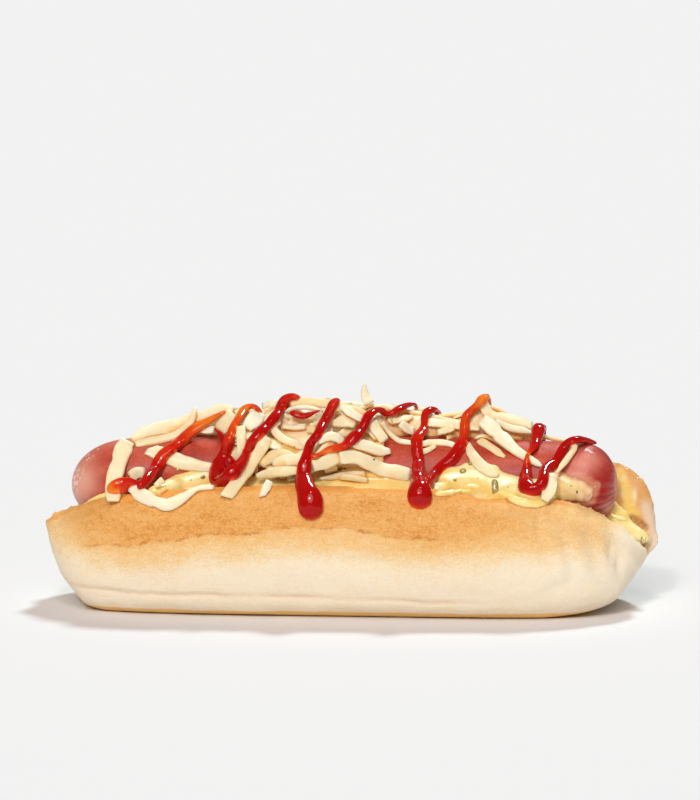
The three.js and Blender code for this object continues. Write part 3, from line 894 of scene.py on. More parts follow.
# Sauce squeezed up along the back edge: station, angle, radius.
SAUCE_BACK = [(-54, 68, 2.4), (-47, 66, 2.4), (-33, 68, 2.2), (-24, 67, 2.6), (4, 67, 2.4), (12, 69, 3.0),
              (19, 68, 3.1), (27, 69, 2.6), (33, 67, 2.0), (48, 68, 2.3), (55, 71, 2.1)]


FILM_SPOTS = []


def smeared(v):
    """How far inside the film of sauce on the sausage: 1 well inside, 0 outside, past its limit negative."""
    c = np.array(FILM_SPOTS)
    d = np.linalg.norm(v[:, None, :] - c[None, :, :3], axis=2) / c[None, :, 3]
    return 1.3 - d.min(axis=1)


def make_sauce(under):
    pile = Pile(under)
    blobs = Blobs(8)
    for path, proud in SAUCE_LOBES:
        length = sum(math.dist(path[i][:2], path[i + 1][:2]) for i in range(len(path) - 1)) / SCALE
        n = max(6, int(length / 0.9))
        fine = curve_through(path, n)
        place = []
        for px, py, rp in fine:
            r = rp / SCALE
            x, t, rad, _ = pile.seen(px, py, 0.4 * proud * r)
            place.append((x, t, min(rad, pile.at(x, t) + 0.4 * proud * r), r))
        place = np.array(place)
        place[:, 2] = blur1(place[:, 2].copy(), 3)
        pos = spot(place[:, 0], place[:, 1], place[:, 2])
        tang = np.gradient(pos, axis=0)
        for k in range(n):
            across, d, out = frame_at(place[k, 1], tang[k])
            r = place[k, 3] * (1 + 0.03 * math.sin(1.7 * k) * proud)
            blobs.add(pos[k], (across, d, out), (1.08 * r, 1.08 * r, max(0.5, min(proud, 1.0) * r)))
    for px, py, rp in SAUCE_FILM:
        x, t, rad, _ = pile.seen(px, py)
        across, d, out = frame_at(t, np.array([1.0, 0, 0]))
        blobs.add(spot(x, t, rad), (across, d, out), (rp / SCALE, rp / SCALE, 0.55))
        FILM_SPOTS.append((*spot(x, t, rad), rp / SCALE))
    for x, t, r in SAUCE_BACK:
        for dx in (-2.2, 0, 2.2):
            rad = float(pile.at(x + dx, t + 0.6 * dx))
            across, d, out = frame_at(t, np.array([1.0, 0, 0]))
            blobs.add(spot(x + dx, t, rad + 0.1 * r), (across, d, out), (1.25 * r, 1.5 * r, 0.6 * r))
    # Sauce smeared thick over the inner wall of the back half at the right mouth.
    for px, py, rp, thick in WALL:
        x, t, rad, _ = pile.seen(px, py)
        q = spot(x, t, rad)
        up = np.array([0.25, -1.0, 0.5]) / np.linalg.norm([0.25, -1.0, 0.5])
        across = np.cross(up, np.array([0, 0, 1.0]))
        across /= np.linalg.norm(across)
        blobs.add(q, (across, np.cross(up, across), up), (rp / SCALE, 1.15 * rp / SCALE, thick))
    fill_v, fill_f = make_sauce_fill()
    n = blobs.count
    blobs.v.append(fill_v)
    blobs.f += [[n + i for i in f] for f in fill_f]
    o = blobs.mesh("relish_sauce_look")
    remesh(o, 0.5)
    relax(o, 13, 0.5)
    relax(o, 34, 0.5, hold=1 - smooth(66, 71, verts_of(o)[:, 0]))
    v, no = verts_of(o), normals_of(o)
    v += no * (0.16 + 0.14 * fbm(v, 6, 2, 75) + 0.05 * fbm(v, 2.2, 2, 76))[:, None]
    set_verts(o, v)
    shade(o)
    film = np.zeros(len(v))
    around = np.hypot(v[:, 1] - axis_y(v[:, 0]), v[:, 2] - axis_z(v[:, 0])) - sausage_r(v[:, 0])
    film = smooth(1.5, 0.2, around) * (v[:, 0] > 55) * (v[:, 1] < 0)
    attribute(o, "film", film)
    attribute(o, "smear", smeared(v))
    return o


def enclosed(o, tree, far=3.2):
    """Share of the outlook from each point that something within `far` mm takes away, as attribute nook, by which the
    sauce and cheese paint shade.
    """
    v, no = verts_of(o), normals_of(o)
    outlook = [q / math.sqrt(sum(k * k for k in q)) for q in
               (np.array(q, float) for q in ((0, 0, 1), (1, 0, 0.7), (-1, 0, 0.7), (0, 1, 0.7), (0, -1, 0.7),
                                             (0.7, 0.7, 0.3), (-0.7, 0.7, 0.3), (0.7, -0.7, 0.3), (-0.7, -0.7, 0.3)))]
    side = np.cross(no, np.where(np.abs(no[:, :1]) < 0.8, [[1.0, 0, 0]], [[0, 1.0, 0]]))
    side /= np.maximum(np.linalg.norm(side, axis=1), 1e-9)[:, None]
    other = np.cross(no, side)
    nook = np.zeros(len(v))
    free = np.flatnonzero((v[:, 2] > 26) & (v[:, 1] < 26))
    for q in outlook:
        ray = side * q[0] + other * q[1] + no * q[2]
        for i in free:
            if tree.ray_cast(Vector(v[i] + 0.12 * no[i]), Vector(ray[i]), far)[0] is not None:
                nook[i] += 1 / len(outlook)
    attribute(o, "nook", nook)


def rimmed(o, tree, near=0.8):
    """How close each point lies to the bread, 1 on it and 0 beyond `near` mm, as attribute rim."""
    v = verts_of(o)
    rim = np.zeros(len(v))
    for i in np.flatnonzero(v[:, 2] > 20):
        gap = tree.find_nearest(Vector(v[i]), near)[3]
        if gap is not None:
            rim[i] = smooth(near, 0.15, gap)
    attribute(o, "rim", rim)


# ------------------------------------------------------------------------------ cheese shreds
class Shreds:
    """Grated strips of cheese, each laid over what is already there."""

    def __init__(self, pile, seed):
        self.pile = pile
        self.rng = random.Random(seed)
        self.v, self.n, self.f, self.tone, self.grain, self.along = [], [], [], [], [], []
        self.count = 0

    def lay(self, path, half, thick, stiff=60, targets=None, lift=(0, 0), roll=0.0, around=10, sink=0.12):
        """path: (n, 2) station and angle, about 0.6 mm apart. Returns the radius of its centre line."""
        pile = self.pile
        n = len(path)
        x, t = path[:, 0], path[:, 1]
        r0 = np.maximum(pile.at(x, t), 8)
        flat = np.column_stack([x, np.radians(t) * r0])
        tan = np.gradient(flat, axis=0)
        tan /= np.maximum(np.linalg.norm(tan, axis=1), 1e-6)[:, None]
        nx, nt = -tan[:, 1], np.degrees(tan[:, 0] / r0)
        b = np.max([pile.at(x + nx * k * half, t + nt * k * half) for k in (-0.85, -0.45, 0, 0.45, 0.85)], axis=0)
        c = b.copy()
        for k in range(stiff):
            c[1:-1] = np.maximum(b[1:-1], 0.5 * (c[:-2] + c[2:]))
        c = np.maximum(blur1(c, 4), b - 0.25)
        c = blur1(c, 2)
        s = np.linspace(0, 1, n)
        if lift[0]:
            c = c + lift[0] * np.maximum(0, 1 - s / 0.35) ** 2
        if lift[1]:
            c = c + lift[1] * np.maximum(0, 1 - (1 - s) / 0.35) ** 2
        mid = c + thick / 2 - sink
        if targets is not None:
            mid = np.maximum(mid, targets)
            mid = blur1(mid, 2)
        return mid, b

    def strip(self, pos, half, thick, out, roll=0.0, tip=(0.0, 0.0), taper=(0.0, 0.0), tone=None, twist=0.0):
        """A bar of cheese along points in space; `out` is where its flat face looks at each."""
        rng = self.rng
        n = len(pos)
        d = np.gradient(pos, axis=0)
        d /= np.maximum(np.linalg.norm(d, axis=1), 1e-9)[:, None]
        out = out - d * np.sum(out * d, 1)[:, None]
        out /= np.maximum(np.linalg.norm(out, axis=1), 1e-9)[:, None]
        across = np.cross(d, out)
        s = np.linspace(0, 1, n)
        wide = np.broadcast_to(np.asarray(half, float), (n,))
        half = float(wide.mean())
        phase = rng.uniform(0, 9)
        seed = rng.randrange(1000)
        turn = roll + twist * (s - 0.5) + 0.1 * np.sin(5 * s + phase)
        ca, sa = np.cos(turn)[:, None], np.sin(turn)[:, None]
        across, out = across * ca + out * sa, out * ca - across * sa
        length = np.concatenate([[0], np.cumsum(np.linalg.norm(np.diff(pos, axis=0), axis=1))])
        left, right_ = length, length[-1] - length
        q = length + 31 * phase
        # The two edges wander on their own, with small nicks from the grater.
        edges = [
            wide * (1 + 0.11 * wave(q, 6.0, seed + k) + 0.08 * wave(q, 2.3, seed + 5 + k)
                    - 0.18 * smooth(0.55, 0.85, wave(q, 3.1, seed + 9 + k)))
            for k in (0, 1)
        ]
        h = 0.5 * thick * (1 + 0.14 * wave(length + 17 * phase, 4.0, seed + 2))
        narrow = np.ones(n)
        own = random.Random(seed)
        taper = [max(q, own.choice((0.0, 0.1, 0.25, 0.5))) for q in taper]
        narrow *= 1 - taper[0] * (1 - smooth(0, own.uniform(1.5, 5), left))
        narrow *= 1 - taper[1] * (1 - smooth(0, own.uniform(1.5, 5), right_))
        ends = np.minimum(smooth(-0.35, 0.5, left), smooth(-0.35, 0.5, right_))
        h = h * (1 - 0.5 * (1 - smooth(0, 4.5, left))) * (1 - 0.5 * (1 - smooth(0, 4.5, right_)))
        # Section: a flat bar with small rounded corners, three points to a corner.
        turns, sx, sy = [], [], []
        for k, (cx, cy) in enumerate(((1, 1), (-1, 1), (-1, -1), (1, -1))):
            for e in (0.0, 0.5, 1.0):
                turns.append((k + e) * math.pi / 2)
                sx.append(cx)
                sy.append(cy)
        turns, sx, sy = np.array(turns), np.array(sx), np.array(sy)
        around = len(turns)
        rc = np.minimum(np.minimum(0.9 * h, 0.62), 0.9 * wide * narrow)[:, None]
        w = np.where(sx[None, :] > 0, edges[0][:, None], edges[1][:, None]) * narrow[:, None]
        a = (sx * (w - rc) + rc * np.cos(turns)) * (0.84 + 0.16 * ends[:, None])
        b = (sy * (h[:, None] - rc) + rc * np.sin(turns)) * (0.6 + 0.4 * ends[:, None])
        ring = pos[:, None, :] + across[:, None, :] * a[..., None] + out[:, None, :] * b[..., None]
        normal = (
            across[:, None, :] * (np.cos(turns) + 0.34 * sx)[None, :, None]
            + out[:, None, :] * (np.sin(turns) + 0.2 * sy)[None, :, None]
        )
        for end, q in ((0, tip[0]), (1, tip[1])):
            if q:  # a slanting cut
                share = np.maximum(0, 1 - (left if not end else right_) / 3.0)
                ring += d[:, None, :] * (share[:, None] * q * a)[..., None] * (1 if end else -1)
        tilt = 0.75
        normal[0] = normal[0] * (1 - tilt) - d[0] * tilt
        normal[-1] = normal[-1] * (1 - tilt) + d[-1] * tilt
        pole0, pole1 = ring[0].mean(0) - 0.08 * d[0], ring[-1].mean(0) + 0.08 * d[-1]
        base = self.count
        self.v += [ring.reshape(-1, 3), np.array([pole0, pole1])]
        self.n += [normal.reshape(-1, 3), np.array([-d[0], d[-1]])]
        self.f.append(ring_faces(n, around, base))
        p0, p1 = base + n * around, base + n * around + 1
        j = np.arange(around)
        k = (j + 1) % around
        self.f.append(np.stack([p0 + 0 * j, base + k, base + j], -1))
        last = base + (n - 1) * around
        self.f.append(np.stack([p1 + 0 * j, last + j, last + k], -1))
        tone = rng.uniform(0, 1) if tone is None else tone
        self.tone.append(np.full(n * around + 2, tone))
        self.grain.append(np.concatenate([(a + 10 * phase).ravel(), [10 * phase] * 2]))
        self.along.append(np.concatenate([np.repeat(length, around), [0, length[-1]]]))
        self.count += n * around + 2
        # The pile grows by this strip: every point of its outer faces counts.
        fine = np.linspace(0, n - 1, 3 * n)
        grab = lambda q: np.stack([np.interp(fine, np.arange(n), q[:, c]) for c in range(3)], -1)
        fp, fa, fo = grab(pos), grab(across), grab(out)
        fw, fh = np.interp(fine, np.arange(n), wide), np.interp(fine, np.arange(n), h)
        for q in np.linspace(-0.95, 0.95, 13):
            for e in (-1, 1):
                p = fp + fa * (q * fw)[:, None] + fo * (e * fh)[:, None]
                self.pile.raise_to(p[:, 0], np.degrees(np.arctan2(p[:, 1], p[:, 2] - HUB)), np.hypot(p[:, 1], p[:, 2] - HUB))

    def traced(self, pts, hw, thick=1.2, face=0.5, slope=0.8, **kw):
        """A strip whose middle line is read off the picture: pts are picture points, hw its half width there."""
        hw = np.atleast_1d(np.asarray(hw, float)) / SCALE
        pts = np.asarray(pts, float)[:, :2]
        length = np.sum(np.hypot(*np.diff(pts, axis=0).T)) / SCALE
        n = max(8, int(length / (0.6)))
        fine = curve_through(pts, n)
        pos = self.pile.laid(fine, 0.5 * thick - 0.1, 0.6 * hw.mean(), slope)
        a = np.arctan2(pos[:, 1], pos[:, 2] - HUB)
        radial = np.stack([0 * a, np.sin(a), np.cos(a)], -1)
        look = radial * (1 - face) + BACK * face
        look /= np.linalg.norm(look, axis=1)[:, None]
        # Keep the width that the picture shows.
        d = np.gradient(pos, axis=0)
        d /= np.linalg.norm(d, axis=1)[:, None]
        out = look - d * np.sum(look * d, 1)[:, None]
        out /= np.linalg.norm(out, axis=1)[:, None]
        c = np.abs(out @ BACK)
        wide = np.interp(np.linspace(0, 1, n), np.linspace(0, 1, len(hw)), hw)
        wide = np.clip((wide - 0.35 * thick * np.sqrt(1 - c**2)) / np.maximum(c, 0.55), 0.35, 3.2)
        self.strip(pos, wide, thick, look, **kw)

    def scatter(self, x, t, heading, length, half, thick, bend, **kw):
        n = max(8, int(length / (0.7)))
        s = np.linspace(-0.5, 0.5, n)
        ang = heading + bend * s
        step = length / (n - 1)
        px = x + np.cumsum(np.cos(ang)) * step
        px -= px.mean() - x
        r0 = max(float(self.pile.at(x, t)), 8)
        pt = np.cumsum(np.sin(ang)) * step
        pt = t + np.degrees((pt - pt.mean()) / r0)
        path = np.column_stack([px, pt])
        mid, b = self.lay(path, half, thick, kw.pop("stiff", 40), lift=kw.pop("lift", (0, 0)))
        a = np.radians(pt)
        return path, mid, spot(px, pt, mid), np.stack([0 * a, np.sin(a), np.cos(a)], -1)

    def object(self, name):
        faces = []
        for f in self.f:
            faces += f.tolist()
        o = outward(mesh_object(name, np.vstack(self.v), faces))
        attribute(o, "tone", np.concatenate(self.tone))
        attribute(o, "grain", np.concatenate(self.grain))
        attribute(o, "along", np.concatenate(self.along))
        shade(o)
        n = np.vstack(self.n)
        n /= np.maximum(np.linalg.norm(n, axis=1), 1e-9)[:, None]
        o.data.normals_split_custom_set_from_vertices(n.tolist())
        return o


# Windows in the heap where the sausage shows, in picture pixels, and the top of the heap.
WINDOWS = [(176, 430, 224, 464), (388, 428, 444, 468), (474, 430, 566, 478), (60, 430, 112, 512), (545, 436, 640, 520),
           (112, 446, 172, 482)]
SKYLINE = [(100, 470), (112, 448), (125, 438), (145, 428), (160, 422), (175, 417), (200, 409), (225, 405), (245, 404),
           (262, 406), (275, 399), (290, 394), (330, 398), (352, 401), (372, 399), (395, 403), (420, 405), (450, 411),
           (468, 404), (484, 396), (500, 409), (520, 414), (540, 424), (556, 431), (575, 437), (600, 446)]

# Lowest line in the picture that the loose strips in front keep above.
FRONT_EDGE = [(60, 500), (110, 490), (200, 482), (420, 478), (520, 480), (600, 500)]

# Strips read off the picture, lowest first: points, half width in pixels, then options.
TRACED = [
    (c0((575, 455), (640, 405), (720, 385), (800, 375), (870, 355), (940, 330), (1010, 300), (1080, 280), (1140, 290)), [5, 7, 8, 8, 7, 6], dict(thick=1.4, slope=0.3, face=0.85)),
    (c1((1000, 240), (1100, 230), (1200, 235), (1300, 255), (1400, 280), (1500, 310), (1560, 340)), 5, dict(slope=0.3, face=0.8)),
    (c1((960, 300), (1010, 275), (1100, 265), (1200, 280), (1230, 300)), 2.6, dict(thick=1.2)),
    (c1((780, 300), (740, 360), (690, 420)), 7, dict()),
    (c1((800, 260), (850, 240), (900, 240)), 4, dict()),
    (c1((960, 310), (985, 340)), 3.5, dict()),
    (c1((940, 400), (1040, 410), (1110, 400)), 3.4, dict(thick=1.2)),
    (c1((1160, 380), (1150, 450)), 5.5, dict()),
    (c1((1300, 380), (1400, 360), (1470, 380)), 7, dict()),
    (c1((1200, 520), (1290, 470), (1380, 520)), 5, dict()),
    (c1((1420, 520), (1500, 540), (1568, 550)), 5, dict()),
    (c1((640, 400), (650, 480), (645, 560), (620, 640), (570, 700)), 5, dict()),
    (c0((560, 655), (600, 630), (645, 630)), 6, dict()),
    (c0((1140, 300), (1090, 350), (1060, 400)), 7.5, dict()),
    (c0((590, 472), (680, 455), (760, 440), (820, 420), (870, 385), (905, 340), (920, 290), (928, 268)), [4.2, 5, 5, 4.8, 4, 2.4], dict(thick=1.3)),
    (c0((650, 510), (720, 520), (790, 545), (860, 575), (940, 595), (1020, 602)), [7.5, 8, 8, 6.5, 5], dict(tip=(0.5, 0))),
    (c0((945, 390), (1030, 390)), 4.5, dict()),
    (c1((920, 360), (880, 400), (900, 450), (960, 500), (1040, 530), (1100, 560)), 4.2, dict()),
    (c1((790, 680), (830, 640), (900, 610), (980, 610), (1060, 640)), 6, dict()),
    (c1((880, 690), (960, 650), (1060, 640), (1110, 600)), 7, dict(thick=1.3)),
    (c1((840, 480), (790, 560), (740, 640), (680, 720), (620, 800), (560, 880), (540, 905)), 6.3, dict(tip=(0, 0.4))),
    (c1((756, 756), (850, 734), (950, 720), (1060, 716)), [3.4, 5, 5.4, 5], dict()),
    (c1((850, 790), (820, 850), (800, 900)), 5, dict(tip=(0, 0.7))),
    (c1((1160, 690), (1250, 660), (1340, 610), (1430, 590), (1520, 600), (1568, 620)), 7, dict()),
    (c1((1206, 776), (1320, 762), (1430, 748), (1540, 742)), [2, 3.6, 4.2, 4], dict(thick=1.1)),
    (c2((0, 700), (100, 690), (200, 730), (300, 780), (400, 800), (500, 820)), 7, dict()),
    (c2((0, 830), (100, 840), (200, 860)), 3.5, dict(thick=1.1)),
    (c2((176, 160), (175, 230), (190, 270), (215, 310)), [2.6, 3.4, 5.6, 7], dict(thick=1.0)),
    (c2((0, 330), (60, 360), (120, 400), (160, 420)), 5, dict()),
    (c2((240, 330), (320, 330), (390, 350)), 3.2, dict()),
    (c2((370, 440), (450, 420), (520, 400)), 4.2, dict()),
    (c2((430, 450), (480, 490), (530, 510)), 5, dict()),
    (c2((230, 440), (250, 490), (290, 540), (320, 580)), 5.5, dict()),
    (c2((300, 440), (330, 490), (370, 540), (430, 580), (500, 590), (540, 600)), 3.2, dict(thick=1.2)),
    (c2((80, 600), (170, 610), (270, 640), (360, 650)), 6.3, dict(tip=(0, 0.3))),
    (c2((1010, 280), (1050, 370), (1100, 400), (1180, 420), (1280, 440), (1370, 470)), 5.6, dict(slope=0.4)),
    (c2((1110, 430), (1200, 480), (1300, 500), (1370, 520)), 4, dict()),
    (c2((630, 440), (720, 455), (820, 460), (900, 470), (1000, 490)), 5.3, dict()),
    (c2((560, 600), (640, 590), (720, 590), (790, 600), (820, 620)), 4, dict()),
    (c2((560, 660), (620, 645), (680, 610)), 3.5, dict()),
    (c2((690, 520), (760, 500), (810, 480)), 4, dict()),
    (c2((980, 570), (1040, 600), (1100, 640), (1180, 690)), 4.2, dict(tip=(0, 0.3))),
    (c2((960, 560), (1010, 540), (1080, 560), (1150, 600), (1220, 650)), 3, dict(thick=1.1)),
    (c2((908, 590), (950, 690), (1030, 772), (1130, 826)), [4, 5.6, 6, 4.2], dict(thick=1.0, tone=0.7)),
    (c2((1010, 420), (1080, 480), (1160, 560), (1250, 640), (1340, 700), (1440, 760)), [8.0, 8.0, 7.2, 6.2, 5.2, 4.4, 3.4], dict(thick=1.5)),
    (c2((1502, 806), (1503, 860), (1490, 930), (1456, 1000)), [3.6, 6, 6.4, 4.4], dict(thick=1.0, tone=0.55)),
    (c4((350, 270), (390, 310), (300, 440), (240, 520), (180, 590)), 3.2, dict(thick=1.1)),
    (c0((548, 452), (520, 505), (500, 560), (485, 620), (468, 690), (465, 790)), [8.5, 8.5, 8, 7.5, 7], dict(thick=1.7)),
    (c0((700, 705), (745, 670)), 5.5, dict(thick=2.4)),
    (c0((555, 720), (600, 740), (660, 775), (720, 800), (780, 808), (840, 780), (900, 740), (960, 715), (1030, 712)),
     [6.5, 7, 6.8, 6.4, 5.6, 4.4, 3.2, 2.4], dict(thick=1.5)),
]


def solid_over(name, mask, top, bottom, cx, ct):
    """A closed body over the marked cells of the map, from radius `bottom` to radius `top`."""
    X, T = np.meshgrid(cx, ct, indexing="ij")
    nx, nt = X.shape
    a, b = spot(X, T, top).reshape(-1, 3), spot(X, T, bottom).reshape(-1, 3)
    faces = []
    n = nx * nt
    for i in range(nx - 1):
        for j in range(nt - 1):
            if not mask[i, j]:
                continue
            q = (i * nt + j, (i + 1) * nt + j, (i + 1) * nt + j + 1, i * nt + j + 1)
            faces.append(q)
            faces.append(tuple(n + k for k in q[::-1]))
            for e, (di, dj) in enumerate(((0, -1), (1, 0), (0, 1), (-1, 0))):
                u, w = i + di, j + dj
                if not (0 <= u < nx - 1 and 0 <= w < nt - 1) or not mask[u, w]:
                    k, l = q[e], q[(e + 1) % 4]
                    faces.append((l, k, n + k, n + l))
    return mesh_object(name, np.vstack([a, b]), faces)


def make_core(pile):
    """The inside of the heap: packed cheese that the loose strips lie on."""
    cx, ct = XS[::3], TS[::2]
    X, T = np.meshgrid(cx, ct, indexing="ij")
    r = pile.at(X, T)
    px = 347 + 3.53 * X
    sky = np.interp(px, [q[0] for q in SKYLINE], [q[1] for q in SKYLINE])
    crest = HUB + pile.at(X, 4 + 0 * T)
    want = 27 + ((509 - sky) / SCALE - 0.5) / 0.988 - 3.4
    high = np.clip(want - crest, 0, 9) * smooth(-62, -50, X) * smooth(53, 44, X)
    q = picture(spot(X, T, r))
    shut = np.zeros(X.shape)
    for x0, y0, x1, y1 in WINDOWS:
        inside = (
            smooth(x0 - 7, x0 + 1, q[..., 0]) * smooth(x1 + 7, x1 - 1, q[..., 0])
            * smooth(y0 - 40, y0 - 39, q[..., 1]) * smooth(y1 + 8, y1, q[..., 1])
        )
        shut = np.maximum(shut, inside * smooth(6, -2, T))
    shut = np.maximum(shut, smooth(24, 32, X) * smooth(4, -4, T))
    shut = np.maximum(shut, smooth(-44, -52, X) * smooth(4, -4, T))
    over = high * smooth(-24, 7, T) * smooth(84, 14, T)
    apron = 1.5 * smooth(-66, -52, T) * smooth(4, -12, T)
    side = 1.2 * smooth(20, 36, T) * smooth(90, 78, T) * smooth(-64, -56, X) * smooth(56, 48, X)
    pts = np.stack([X.ravel(), np.radians(T.ravel()) * 20, 0 * X.ravel()], -1)
    lumps = fbm(pts, (7, 2.4, 5), 2, 91).reshape(X.shape)
    h = (over + apron + 0.5 * smooth(0.3, 1.0, over + apron) + side) * (1 - shut) * (1 + 0.18 * lumps)
    h = h + 0.35 * lumps * (h > 0.3)
    mask = h > 0.45
    cells = mask[:-1, :-1] & mask[1:, :-1] & mask[:-1, 1:] & mask[1:, 1:]
    o = outward(solid_over("cheese_core_look", cells, r + h, r - 0.35, cx, ct))
    remesh(o, 0.6)
    relax(o, 5, 0.5)
    shade(o)
    pile_top = Pile([o])
    pile.r = np.maximum(pile.r, pile_top.r)
    v = verts_of(o)
    attribute(o, "tone", np.full(len(v), 0.75))
    attribute(o, "grain", v[:, 2])
    attribute(o, "along", v[:, 0])
    return o


def make_cheese(pile):
    heap = Shreds(pile, 5)
    rng = heap.rng

    def clear(path, mid, margin=0.0):
        """A strip must not close a window in the heap or stand above its top in the picture."""
        p = picture(spot(path[:, 0], path[:, 1], mid))
        t = path[:, 1]
        front = t < 16
        for x0, y0, x1, y1 in WINDOWS:
            inside = (p[:, 0] > x0) & (p[:, 0] < x1) & (p[:, 1] > y0) & (p[:, 1] < y1) & front
            if inside.any():
                return False
        edge = np.interp(p[:, 0], [q[0] for q in FRONT_EDGE], [q[1] for q in FRONT_EDGE])
        if np.any(p[front, 1] > edge[front]):
            return False
        sky = np.interp(p[:, 0], [q[0] for q in SKYLINE], [q[1] for q in SKYLINE])
        return bool(np.all(p[:, 1] > sky + 3.0 + margin))

    def fill(count, x_range, t_range, margin=0.0, heading=None, tries=40, size=(9, 26)):
        placed = 0
        for k in range(count * tries):
            if placed >= count:
                break
            x, t = rng.uniform(*x_range), rng.uniform(*t_range)
            h = rng.uniform(-1.2, 1.2) if heading is None else rng.gauss(*heading)
            if rng.random() < 0.25:
                h += math.pi / 2
            length = rng.uniform(*size)
            half = rng.uniform(1.25, 2.15)
            thick = rng.uniform(0.9, 1.35)
            lift = (rng.choice((0, 0, 0.5, 1.2)), rng.choice((0, 0, 0.5, 1.2)))
            bend = rng.gauss(0, 0.9)
            state = rng.getstate()
            path, mid, pos, out = heap.scatter(x, t, h, length, half, thick, bend, lift=lift)
            if path[:, 0].min() < -73 or path[:, 0].max() > 63 or path[:, 1].max() > 96 or path[:, 1].min() < -99:
                continue
            if mid.max() + thick / 2 > 27.5:
                continue
            if not clear(path, mid, margin):
                continue
            heap.strip(pos, half, thick, out, roll=rng.gauss(0, 0.24), twist=rng.gauss(0, 0.5),
                       tip=(rng.uniform(-0.7, 0.7), rng.uniform(-0.7, 0.7)), taper=(rng.choice((0, 0, 0.5)), rng.choice((0, 0, 0.5))))
            placed += 1
        return placed

    made = [
        fill(5, (-44, -18), (-66, -14), heading=(0, 0.7), size=(14, 26)),
        fill(5, (-14, 12), (-64, -12), heading=(0, 0.7), size=(14, 26)),
        fill(14, (-64, 54), (8, 40), heading=(0, 0.5), size=(16, 34)),
        fill(22, (-64, 54), (34, 86), size=(14, 30)),
    ]
    for pts, hw, opt in TRACED:
        heap.traced(pts, hw, **opt)
    made.append(fill(18, (-62, 52), (24, 82), size=(14, 30)))
    made.append(fill(8, (-60, 50), (72, 94), size=(7, 15)))
    print("strips placed:", made, "points", heap.count)
    return heap.object("shredded_cheese_look")


# ------------------------------------------------------------------------------ ketchup
def back(x, t, r, thin=0.35):
    return ("b", x, t, r, thin)


def front(path, thin=0.0, thins=None):
    n = len(path)
    thins = [thin] * n if thins is None else np.interp(np.linspace(0, 1, n), np.linspace(0, 1, len(thins)), thins)
    return [("f", p[0], p[1], p[2], float(q)) for p, q in zip(path, thins)]


